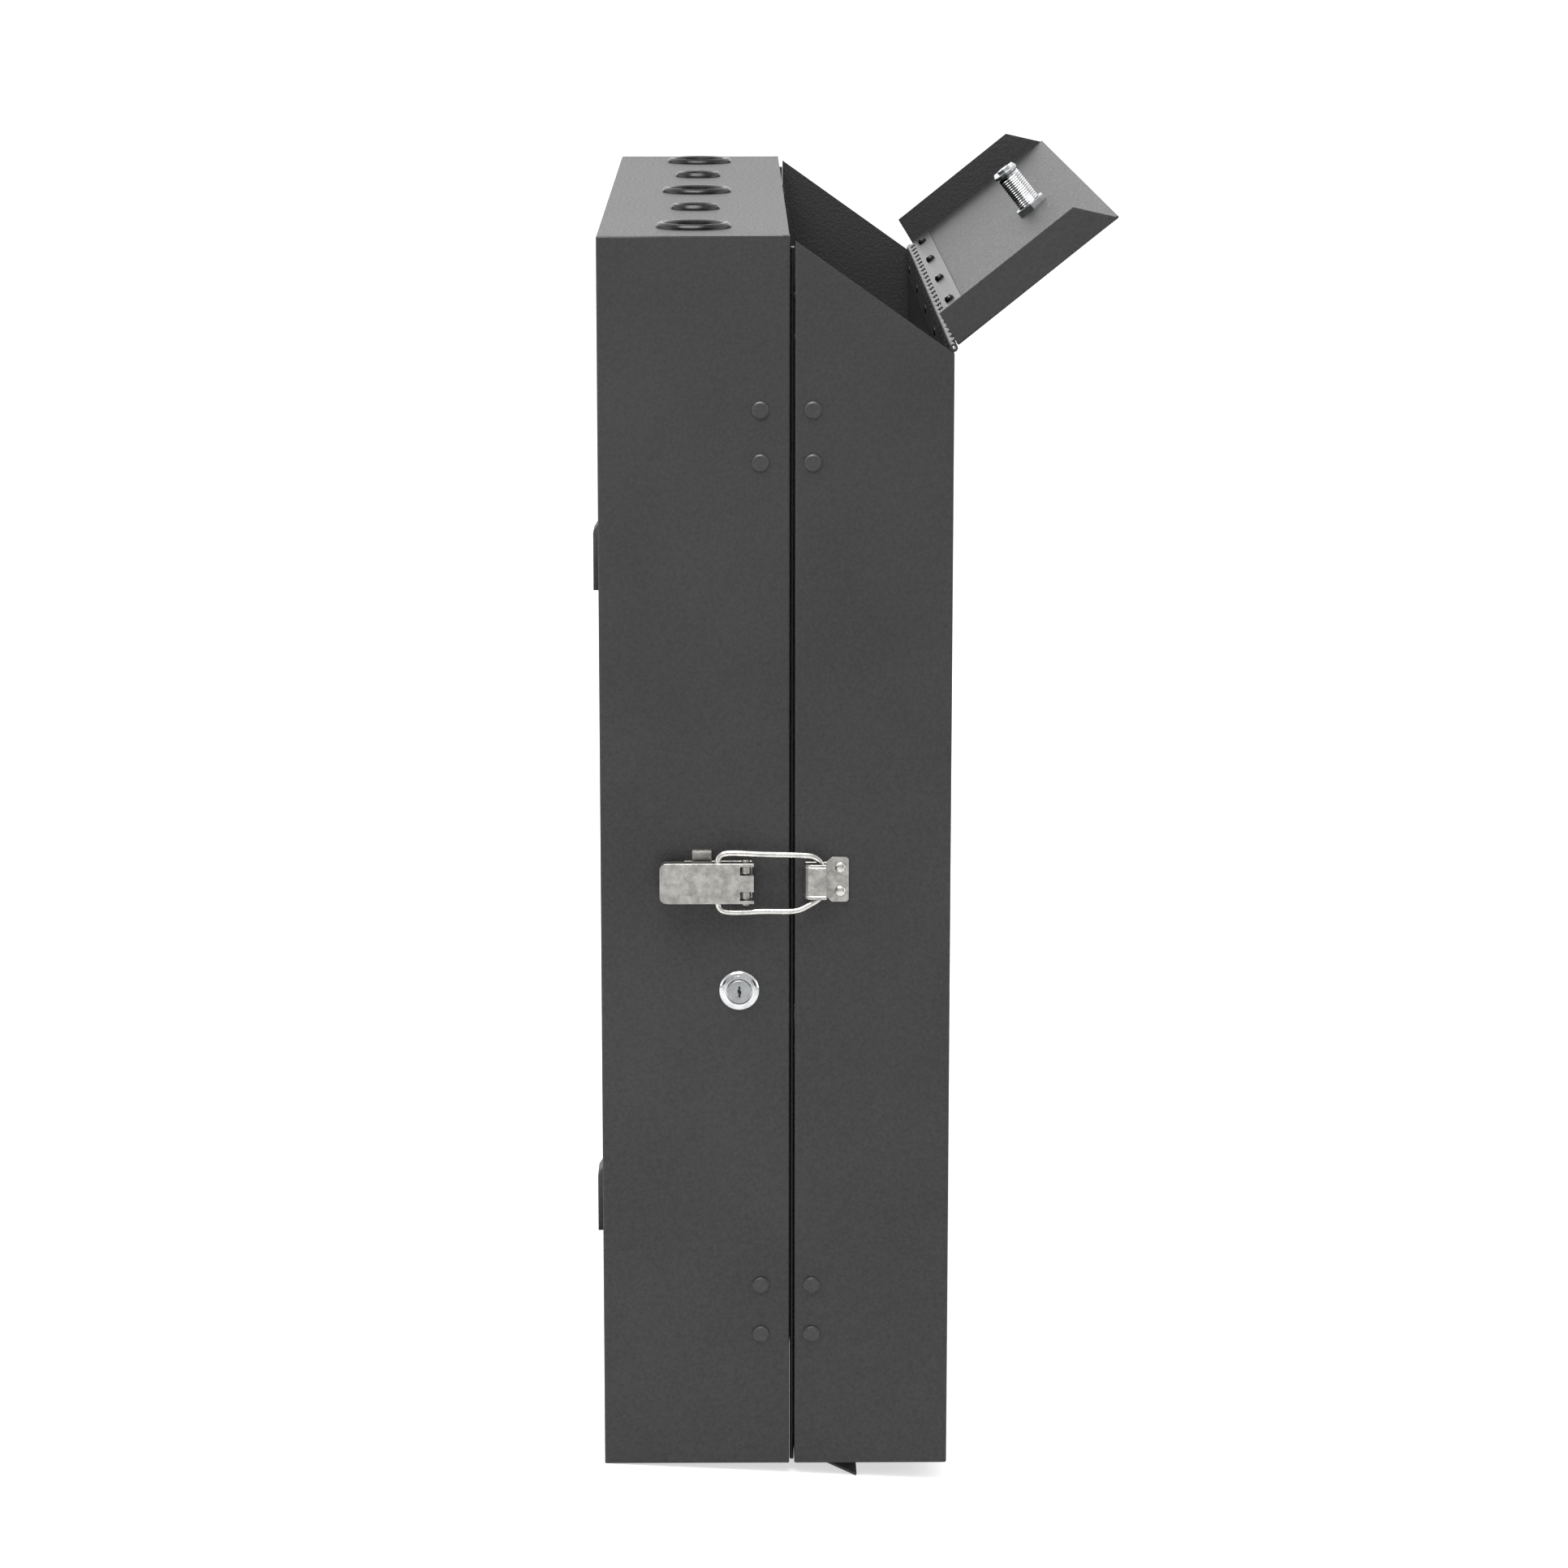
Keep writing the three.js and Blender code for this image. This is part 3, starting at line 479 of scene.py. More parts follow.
@dataclass(frozen=True)
class PowderCoat(Finish):
    """Textured powder coat baked on steel: a satin skin with a fine pebble that scatters its glints."""

    name: str
    dark: str = "#1e1e1f"
    light: str = "#2b2b2b"
    pebble_mm: float = 1.9
    relief_mm: float = 0.34
    gloss: float = 0.47

    def material(self) -> bpy.types.Material:
        """Builds the finish.

        Returns:
            Its material.
        """
        material, tree, place, surface = self.start()
        pebble = add_node(tree, "ShaderNodeTexNoise", grain(self.pebble_mm, 2.5, 0.6),
                          {"Vector": place}).outputs["Fac"]
        # a slow drift in tone over each panel
        drift = add_node(tree, "ShaderNodeTexNoise", grain(90, 3), {"Vector": place}).outputs["Fac"]
        speckle = add_node(tree, "ShaderNodeMapRange", span(0.0, 0.45, 0.3, 0.7), {"Value": pebble})
        mixed = add_node(tree, "ShaderNodeMath", {"operation": "MULTIPLY_ADD", 1: 0.55},
                         {0: drift, 2: speckle.outputs["Result"]})
        colour = add_node(tree, "ShaderNodeValToRGB", {"stops": [(0.25, self.dark), (0.75, self.light)]},
                          {"Fac": mixed.outputs[0]})
        tree.links.new(colour.outputs["Color"], surface.inputs["Base Color"])
        sheen = add_node(tree, "ShaderNodeMapRange", span(self.gloss + 0.1, self.gloss - 0.06, 0.3, 0.7),
                         {"Value": pebble})
        tree.links.new(sheen.outputs["Result"], surface.inputs["Roughness"])
        bump = add_node(tree, "ShaderNodeBump", {"Distance": self.relief_mm * MM, "Strength": 1.0},
                        {"Height": pebble})
        tree.links.new(bump.outputs["Normal"], surface.inputs["Normal"])
        surface.inputs["IOR"].default_value = 1.5
        return material


@dataclass(frozen=True)
class TumbledPlate(Finish):
    """Nickel plate over tumbled pressings: bright, with cloudy grey mottling and small dull pits."""

    name: str
    shadow: str = "#94928e"
    middle: str = "#a9a7a3"
    bright: str = "#b9b7b3"
    mottle_mm: float = 5.0
    pit_mm: float = 0.7

    def material(self) -> bpy.types.Material:
        """Builds the finish.

        Returns:
            Its material.
        """
        material, tree, place, surface = self.start()
        cloud = add_node(tree, "ShaderNodeTexNoise", grain(self.mottle_mm, 5, 0.68),
                         {"Vector": place}).outputs["Fac"]
        pits = add_node(tree, "ShaderNodeTexNoise", grain(self.pit_mm, 2, 0.6),
                        {"Vector": place}).outputs["Fac"]
        stops = [(0.36, self.shadow), (0.5, self.middle), (0.62, self.bright)]
        self.tint(tree, surface, cloud, stops, span(0.42, 0.27, 0.38, 0.62))
        bump = add_node(tree, "ShaderNodeBump", {"Distance": 0.012 * MM, "Strength": 0.5}, {"Height": pits})
        tree.links.new(bump.outputs["Normal"], surface.inputs["Normal"])
        surface.inputs["Metallic"].default_value = 1.0
        return material


@dataclass(frozen=True)
class BrightPlate(Finish):
    """Chrome or zinc plate on turned and stamped pieces: a mirror or a soft shine, with faint haze."""

    name: str
    colour: str
    hazed: str
    gloss: float
    haze: float

    def material(self) -> bpy.types.Material:
        """Builds the finish.

        Returns:
            Its material.
        """
        material, tree, place, surface = self.start()
        smear = add_node(tree, "ShaderNodeTexNoise", grain(6, 4, 0.6), {"Vector": place}).outputs["Fac"]
        self.tint(tree, surface, smear, [(0.35, self.hazed), (0.6, self.colour)],
                  span(self.haze, self.gloss, 0.35, 0.6))
        surface.inputs["Metallic"].default_value = 1.0
        return material


@dataclass(frozen=True)
class MouldedNylon(Finish):
    """Nylon 66 moulded in a polished tool: deep black, glossy, with a slight flow haze."""

    name: str
    colour: str = "#0b0b0c"
    streak: str = "#151516"

    def material(self) -> bpy.types.Material:
        """Builds the finish.

        Returns:
            Its material.
        """
        material, tree, place, surface = self.start()
        flow = add_node(tree, "ShaderNodeTexNoise", grain(7, 3), {"Vector": place}).outputs["Fac"]
        self.tint(tree, surface, flow, [(0.35, self.colour), (0.65, self.streak)],
                  span(0.22, 0.36, 0.35, 0.65))
        surface.inputs["Specular IOR Level"].default_value = 0.3
        return material


@dataclass(frozen=True)
class Finishes:
    """The cabinet's materials. The nickel and chrome slots have two each."""

    paint: bpy.types.Material
    hardware: bpy.types.Material
    nickel: bpy.types.Material
    wire: bpy.types.Material
    satin: bpy.types.Material
    chrome: bpy.types.Material
    zinc: bpy.types.Material
    nylon: bpy.types.Material


def make_finishes() -> Finishes:
    """Builds every finish once.

    Returns:
        The finishes together.
    """
    return Finishes(
        paint=PowderCoat("textured powder-coated steel").material(),
        # the hinge and rivet paint is a shade lighter than the body's paint that it matches on the cabinet: a
        # painted highlight on rivet rims and hinge leaves
        hardware=PowderCoat("powder-coated hinge steel", "#232324", "#363636", 1.1, 0.07, 0.36).material(),
        nickel=TumbledPlate("tumbled nickel-plated steel").material(),
        # the bright wire finish also goes on the catch's beads and the latch's rivet domes, where its
        # brightness over the latch's nickel is a painted highlight
        wire=BrightPlate("nickel-plated spring wire", "#dddbd7", "#c3c1bd", 0.24, 0.34).material(),
        satin=BrightPlate("satin chrome-plated plug", "#a9abad", "#949698", 0.28, 0.4).material(),
        chrome=BrightPlate("bright chrome-plated zinc", "#dfe0e1", "#c9cbcd", 0.06, 0.15).material(),
        zinc=BrightPlate("zinc-plated steel", "#c6c9ca", "#a3a6a8", 0.26, 0.42).material(),
        nylon=MouldedNylon("moulded nylon 66").material(),
    )


# ---- geometry node trees ----------------------------------------------------------------------------


def new_tree(name: str,
             inputs: Sequence[tuple[str, str, float]]) -> tuple[bpy.types.NodeTree, bpy.types.Node]:
    """Starts a Geometry Nodes tree with named inputs.

    Args:
        name: The tree's name.
        inputs: Each input's name, socket type and default.

    Returns:
        The tree and its input node.
    """
    tree = bpy.data.node_groups.new(name, "GeometryNodeTree")
    tree.interface.new_socket("Geometry", in_out="INPUT", socket_type="NodeSocketGeometry")
    tree.interface.new_socket("Geometry", in_out="OUTPUT", socket_type="NodeSocketGeometry")
    for label, kind, default in inputs:
        tree.interface.new_socket(label, in_out="INPUT", socket_type=kind).default_value = default
    tree.interface.new_socket("Material", in_out="INPUT", socket_type="NodeSocketMaterial")
    return tree, tree.nodes.new("NodeGroupInput")


def close_tree(tree: bpy.types.NodeTree, given: bpy.types.Node, made: bpy.types.NodeSocket) -> None:
    """Ends a tree in Realize Instances and Set Material.

    Args:
        tree: The tree.
        given: Its input node.
        made: The geometry to end with.
    """
    real = add_node(tree, "GeometryNodeRealizeInstances", links={0: made})
    dressed = add_node(tree, "GeometryNodeSetMaterial",
                       links={0: real.outputs[0], 2: given.outputs["Material"]})
    add_node(tree, "NodeGroupOutput", links={0: dressed.outputs[0]})


def stand_on_points(tree: bpy.types.NodeTree, given: bpy.types.Node, item: bpy.types.NodeSocket) -> None:
    """Puts an item on every carrier point, turned to the point's facing, and ends the tree.

    Args:
        tree: The tree.
        given: Its input node.
        item: The geometry to repeat.
    """
    heading = add_node(tree, "GeometryNodeInputNamedAttribute",
                       {"data_type": "FLOAT_VECTOR", "Name": "facing"})
    turn = add_node(tree, "FunctionNodeAlignRotationToVector", {"axis": "Z"},
                    {"Vector": heading.outputs["Attribute"]})
    placed = add_node(tree, "GeometryNodeInstanceOnPoints", links={
        "Points": given.outputs["Geometry"], "Instance": item, "Rotation": turn.outputs[0]})
    close_tree(tree, given, placed.outputs[0])


def run_tree(piece: bpy.types.Object, tree: bpy.types.NodeTree, values: dict[str, object]) -> None:
    """Runs a tree on a piece with its inputs set, and keeps the plain result.

    Args:
        piece: The object that carries the tree's starting geometry.
        tree: The tree.
        values: Input values by name.
    """
    modifier = piece.modifiers.new(tree.name, "NODES")
    modifier.node_group = tree
    for item in tree.interface.items_tree:
        if item.item_type == "SOCKET" and item.in_out == "INPUT" and item.name in values:
            modifier[item.identifier] = values[item.name]
    set_down(piece)


def rivet_tree() -> bpy.types.NodeTree:
    """A flat-headed rivet with a chamfered rim on each carrier point, turned to its facing.

    Returns:
        The tree.
    """
    sizes = [("Radius", "NodeSocketFloat", 4.8 * MM), ("Height", "NodeSocketFloat", 1.2 * MM),
             ("Crown", "NodeSocketFloat", 0.5)]
    tree, given = new_tree("rivet_heads", sizes)
    rim = add_node(tree, "ShaderNodeMath", {"operation": "MULTIPLY", 1: 0.55}, {0: given.outputs["Height"]})
    body = add_node(tree, "GeometryNodeMeshCone", {"Vertices": 28},
                    {"Radius Top": given.outputs["Radius"], "Radius Bottom": given.outputs["Radius"],
                     "Depth": rim.outputs[0]})
    inner = add_node(tree, "ShaderNodeMath", {"operation": "MULTIPLY"},
                     {0: given.outputs["Radius"], 1: given.outputs["Crown"]})
    rest = add_node(tree, "ShaderNodeMath", {"operation": "SUBTRACT"},
                    {0: given.outputs["Height"], 1: rim.outputs[0]})
    crown = add_node(tree, "GeometryNodeMeshCone", {"Vertices": 28},
                     {"Radius Top": inner.outputs[0], "Radius Bottom": given.outputs["Radius"],
                      "Depth": rest.outputs[0]})
    lift = add_node(tree, "ShaderNodeCombineXYZ", links={"Z": rim.outputs[0]})
    raised = add_node(tree, "GeometryNodeTransform", links={"Geometry": crown.outputs["Mesh"],
                                                            "Translation": lift.outputs[0]})
    head = add_node(tree, "GeometryNodeJoinGeometry")
    tree.links.new(body.outputs["Mesh"], head.inputs[0])
    tree.links.new(raised.outputs[0], head.inputs[0])
    stand_on_points(tree, given, head.outputs[0])
    return tree


def knuckle_tree() -> bpy.types.NodeTree:
    """Hinge knuckles in a row along X, added to the leaf that the modifier sits on.

    Returns:
        The tree.
    """
    sizes = [("Count", "NodeSocketInt", 25), ("Pitch", "NodeSocketFloat", 25.4 * MM),
             ("Length", "NodeSocketFloat", 12.2 * MM), ("Radius", "NodeSocketFloat", 2.4 * MM),
             *((label, "NodeSocketFloat", 0.0) for label in ("Start", "Pin Y", "Pin Z"))]
    tree, given = new_tree("hinge_knuckles", sizes)
    start = add_node(tree, "ShaderNodeCombineXYZ", links={
        "X": given.outputs["Start"], "Y": given.outputs["Pin Y"], "Z": given.outputs["Pin Z"]})
    step = add_node(tree, "ShaderNodeCombineXYZ", links={"X": given.outputs["Pitch"]})
    row = add_node(tree, "GeometryNodeMeshLine", links={
        "Count": given.outputs["Count"], "Start Location": start.outputs[0], "Offset": step.outputs[0]})
    knuckle = add_node(tree, "GeometryNodeMeshCylinder", {"Vertices": 16}, {
        "Radius": given.outputs["Radius"], "Depth": given.outputs["Length"]})
    along = add_node(tree, "FunctionNodeEulerToRotation", {0: (0.0, math.pi / 2, 0.0)})
    placed = add_node(tree, "GeometryNodeInstanceOnPoints", links={
        "Points": row.outputs[0], "Instance": knuckle.outputs["Mesh"], "Rotation": along.outputs[0]})
    whole = add_node(tree, "GeometryNodeJoinGeometry")
    tree.links.new(placed.outputs[0], whole.inputs[0])
    tree.links.new(given.outputs["Geometry"], whole.inputs[0])
    close_tree(tree, given, whole.outputs[0])
    return tree


def thread_tree() -> bpy.types.NodeTree:
    """Rolled thread ridges along a barrel, one on each carrier point, turned to its facing.

    Returns:
        The tree.
    """
    sizes = [("Radius", "NodeSocketFloat", 7.6 * MM), ("Ridge", "NodeSocketFloat", 0.45 * MM)]
    tree, given = new_tree("thread_ridges", sizes)
    path = add_node(tree, "GeometryNodeCurvePrimitiveCircle", {"Resolution": 40},
                    {"Radius": given.outputs["Radius"]})
    section = add_node(tree, "GeometryNodeCurvePrimitiveCircle", {"Resolution": 6},
                       {"Radius": given.outputs["Ridge"]})
    ridge = add_node(tree, "GeometryNodeCurveToMesh", links={
        "Curve": path.outputs[0], "Profile Curve": section.outputs[0]})
    stand_on_points(tree, given, ridge.outputs[0])
    return tree


def carriers(name: str, places: Sequence[tuple[Vector, Vector]]) -> bpy.types.Object:
    """An object of loose points, each with the way that its instance faces.

    Args:
        name: The piece's name.
        places: A point and a direction for each instance.

    Returns:
        The new object.
    """
    mesh = bpy.data.meshes.new(name)
    mesh.from_pydata([tuple(point) for point, _ in places], [], [])
    attribute = mesh.attributes.new("facing", "FLOAT_VECTOR", "POINT")
    attribute.data.foreach_set("vector", [value for _, way in places for value in way])
    return new_object(name, mesh)


def middle_of(node: str) -> Vector:
    """The middle of a CAD node's box.

    Args:
        node: The node's name.

    Returns:
        The point.
    """
    low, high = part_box(node)
    return (low + high) / 2


# ---- sub-assemblies ---------------------------------------------------------------------------------


@dataclass
class SubAssembly:
    """What every sub-assembly shares: the self.finishes."""

    finishes: Finishes


@dataclass
class SheetBodies(SubAssembly):
    """The folded sheet: rear tray, front cover and hatch panel."""

    bend: float = 1.15 * MM
    edge: float = 0.3 * MM
    near: float = 0.02 * MM
    shortest: float = 10 * MM

    def meeting(self, *planes: Sequence[float]) -> Callable[[Vector], bool]:
        """Tells the edges where two outer faces of a box meet.

        Args:
            planes: Where its outer faces lie along X, along Y and along Z.

        Returns:
            A test of an edge's midpoint.
        """
        def folded(middle: Vector) -> bool:
            """Whether a midpoint lies on two outer faces."""
            hits = [min(abs(middle[axis] - plane) for plane in row) for axis, row in enumerate(planes)]
            return sum(hit < self.near for hit in hits) >= 2

        return folded

    def build(self) -> None:
        """Rounds the folds: the tray's corners, the cover's below its slope, the hatch's at its flanges."""
        tray_low, tray_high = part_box("rear_tray")
        low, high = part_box("front_cover")
        hatch_low, hatch_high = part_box("hatch_panel")
        inward = Vector(JOINTS["hatch_lock_turn"]["axis"])
        outer = Vector(JOINTS["hatch_lock_turn"]["pos_m"]).dot(inward)

        def flange(middle: Vector) -> bool:
            """Whether an edge's midpoint is where a side flange leaves the hatch."""
            beside = min(abs(middle.x - hatch_low.x), abs(middle.x - hatch_high.x)) < self.near
            return beside and abs(middle.dot(inward) - outer) < self.near

        tray = self.meeting((tray_low.x, tray_high.x), (tray_low.y, tray_high.y - HANGER),
                            (tray_low.z, tray_high.z))
        cover = self.meeting((low.x, high.x), (low.y, high.y), (0.0,))
        for node, name, folded, body in (("rear_tray", "tray_folded_sheet", tray, Body.REAR),
                                         ("front_cover", "cover_folded_sheet", cover, Body.FRONT),
                                         ("hatch_panel", "hatch_folded_sheet", flange, Body.LID)):
            piece = softened(node, name, self.edge, self.bend, folded, self.shortest)
            dress(piece, self.finishes.paint, body, [node])


@dataclass
class PianoHinge(SubAssembly):
    """The hatch's continuous hinge: two notched leaves, rows of knuckles, a pin and flat rivets."""

    knuckle: float = 12.7 * MM
    count: int = 51
    gap: float = 0.5 * MM
    thick: float = 1.0 * MM
    radius: float = 2.4 * MM
    reach: float = 17.5 * MM
    root: float = 0.2 * MM
    longest: float = 322.2 * MM
    pin_radius: float = 0.95 * MM
    rivet_radius: float = 2.9 * MM
    rivet_pitch: float = 134 * MM

    def leaf(self, name: str, first: int, along: Vector, outward: Vector, half: float, notch: float,
             rivet_height: float, node: str, body: Body) -> None:
        """Builds one leaf as a comb with its own knuckles.

        Args:
            name: The piece's name.
            first: 0 for the leaf that holds the end knuckles, 1 for the other.
            along: From the pin towards the leaf's free edge.
            outward: The way the leaf's inner face looks.
            half: Half the leaf's length.
            notch: How far the cut-outs for the other leaf's knuckles run from the pin.
            rivet_height: How far the rivets stand off the leaf.
            node: The CAD node that it replaces.
            body: The body that it moves with.
        """
        pin = middle_of("hatch_pin")
        radius, reach = self.radius, self.reach
        length = self.knuckle * self.count
        top = pin + outward * (radius - self.thick)
        outline = [Vector((half, 0, 0)) + along * reach, Vector((-half, 0, 0)) + along * reach]
        x = -half
        for i in range(self.count):
            start = -length / 2 + i * self.knuckle
            end = min(start + self.knuckle, half)
            depth = self.root if i % 2 == first else notch
            inset = -self.gap / 2 if i % 2 != first else self.gap / 2
            outline.append(Vector((max(x, start + inset), 0, 0)) + along * depth)
            outline.append(Vector((min(end - inset, half), 0, 0)) + along * depth)
            x = end
        placed = [top + corner - Vector((pin.x, 0, 0)) for corner in outline]
        piece = slab(name, placed, outward * self.thick)
        own = [i for i in range(self.count) if i % 2 == first]
        centre = -length / 2 + (own[0] + 0.5) * self.knuckle
        run_tree(piece, knuckle_tree(), {
            "Count": len(own), "Pitch": 2 * self.knuckle, "Length": self.knuckle - self.gap,
            "Radius": radius, "Start": centre, "Pin Y": pin.y, "Pin Z": pin.z,
            "Material": self.finishes.hardware})
        shade(piece)
        dress(piece, self.finishes.hardware, body, [node])

        face = top + outward * self.thick
        places = [(Vector((i * self.rivet_pitch, face.y, face.z)) + along * 0.6 * reach, outward)
                  for i in range(-2, 3)]
        rivets = carriers(f"{name}_rivets", places)
        run_tree(rivets, rivet_tree(), {
            "Radius": self.rivet_radius, "Height": rivet_height, "Crown": 0.6,
            "Material": self.finishes.nylon})
        shade(rivets)
        dress(rivets, self.finishes.nylon, body)

    def build(self) -> None:
        """Builds both leaves and the pin."""
        inward = Vector(JOINTS["hatch_lock_turn"]["axis"])
        along = Vector((0, -inward.z, inward.y))
        half = min(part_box("hatch_leaf_cover")[1].x, self.longest)
        self.leaf("cover_hinge_leaf", 0, Vector((0, 0, -1)), Vector((0, 1, 0)), half, 2.9 * MM, 0.9 * MM,
                  "hatch_leaf_cover", Body.FRONT)
        self.leaf("lid_hinge_leaf", 1, along, inward, half, 4.4 * MM, 3.2 * MM,
                  "hatch_leaf_lid", Body.LID)
        pin_low, pin_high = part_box("hatch_pin")
        origin = Vector((pin_low.x, middle_of("hatch_pin").y, middle_of("hatch_pin").z))
        length = pin_high.x - pin_low.x
        radius, nose = self.pin_radius, self.pin_radius * 0.3
        profile = [(0, 0), (radius * 0.7, 0), (radius, nose), (radius, length - nose), (radius * 0.7, length),
                   (0, length)]
        pin = turned("hatch_hinge_pin", profile, facing(origin, Vector((1, 0, 0))), 16)
        dress(pin, self.finishes.zinc, Body.FRONT, ["hatch_pin"])


@dataclass
class CornerRivets(SubAssembly):
    """The rows of flat rivets at the four corners of each side wall."""

    radius: float = 4.8 * MM
    height: float = 1.2 * MM
    tail_radius: float = 3.6 * MM
    tail_height: float = 1.4 * MM
    stand_off: float = 0.65

    def build(self) -> None:
        """Builds each body's rivets as one piece, outside heads and inside tails."""
        for part, body in (("tray", Body.REAR), ("cover", Body.FRONT)):
            names = [name for name in NODES if name.startswith(f"rivet_{part}_")]
            places, tails = [], []
            for name in names:
                low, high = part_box(name)
                side = 1 if low.x > 0 else -1
                centre = middle_of(name)
                outer = high.x if side > 0 else low.x
                inner = low.x if side > 0 else high.x
                way = Vector((side, 0, 0))
                seat = outer - side * self.height * self.stand_off
                places.append((Vector((seat, centre.y, centre.z)), way))
                tails.append((Vector((inner + side * self.tail_height, centre.y, centre.z)), -way))
            heads = carriers(f"{part}_rivet_heads", places)
            run_tree(heads, rivet_tree(), {"Radius": self.radius, "Height": self.height, "Crown": 0.82,
                                           "Material": self.finishes.hardware})
            shade(heads)
            dress(heads, self.finishes.hardware, body, names)
            upset = carriers(f"{part}_rivet_tails", tails)
            run_tree(upset, rivet_tree(), {"Radius": self.tail_radius, "Height": self.tail_height,
                                           "Crown": 0.6, "Material": self.finishes.zinc})
            shade(upset)
            dress(upset, self.finishes.zinc, body)


@dataclass
class SideHinges(SubAssembly):
    """Leaves, pins and filler plates behind the side walls."""

    edge: float = 0.2 * MM

    def build(self) -> None:
        """Softens each CAD piece and dresses it."""
        for level in ("lower", "upper"):
            for part, body in (("tray", Body.REAR), ("cover", Body.FRONT)):
                leaf = softened(f"hinge_leaf_{part}_{level}", f"{part}_side_hinge_{level}", self.edge)
                dress(leaf, self.finishes.hardware, body, [f"hinge_leaf_{part}_{level}"])
                plate = softened(f"filler_plate_{part}_{level}", f"{part}_filler_{level}", self.edge)
                dress(plate, self.finishes.zinc, body, [f"filler_plate_{part}_{level}"])
            pin = softened(f"hinge_pin_{level}", f"side_hinge_pin_{level}", self.edge)
            dress(pin, self.finishes.zinc, Body.REAR, [f"hinge_pin_{level}"])


@dataclass
class CableBushings(SubAssembly):
    """Snap bushings in the tray's top: a rounded flange over a neck, with a rolled-in throat."""

    rise: float = 3.0 * MM
    large_flange: float = 18 * MM
    large_throat: float = 16.5 * MM
    large_neck: float = 18.6 * MM
    small_throat: float = 10.2 * MM
    small_neck: float = 12.2 * MM

    def build(self) -> None:
        """Builds each bushing over its CAD node."""
        for i in range(1, 6):
            node = f"cable_bushing_{i}"
            low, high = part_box(node)
            centre = middle_of(node)
            flange = (high.x - low.x) / 2
            large = flange > self.large_flange
            throat = self.large_throat if large else self.small_throat
            neck = self.large_neck if large else self.small_neck
            seat = high.z - self.rise
            deep = low.z - seat
            crest = flange - (flange - throat) * 0.35
            profile = [(throat, deep + 1 * MM), (throat + 0.6 * MM, deep), (neck - 0.6 * MM, deep),
                       (neck, deep + 1 * MM), (neck, 0.05 * MM), (flange, 0.05 * MM), (flange, 0.9 * MM),
                       (flange - 0.5 * MM, 1.9 * MM), (flange - 1.5 * MM, 2.75 * MM), (crest, self.rise),
                       (throat + 1.6 * MM, self.rise - 0.1 * MM), (throat + 0.5 * MM, self.rise - 0.8 * MM),
                       (throat, self.rise - 2.2 * MM)]
            place = Matrix.Translation((centre.x, centre.y, seat))
            ring = turned(f"bushing_{i}", profile, place, 72, closed=True)
            dress(ring, self.finishes.nylon, Body.REAR, [node])


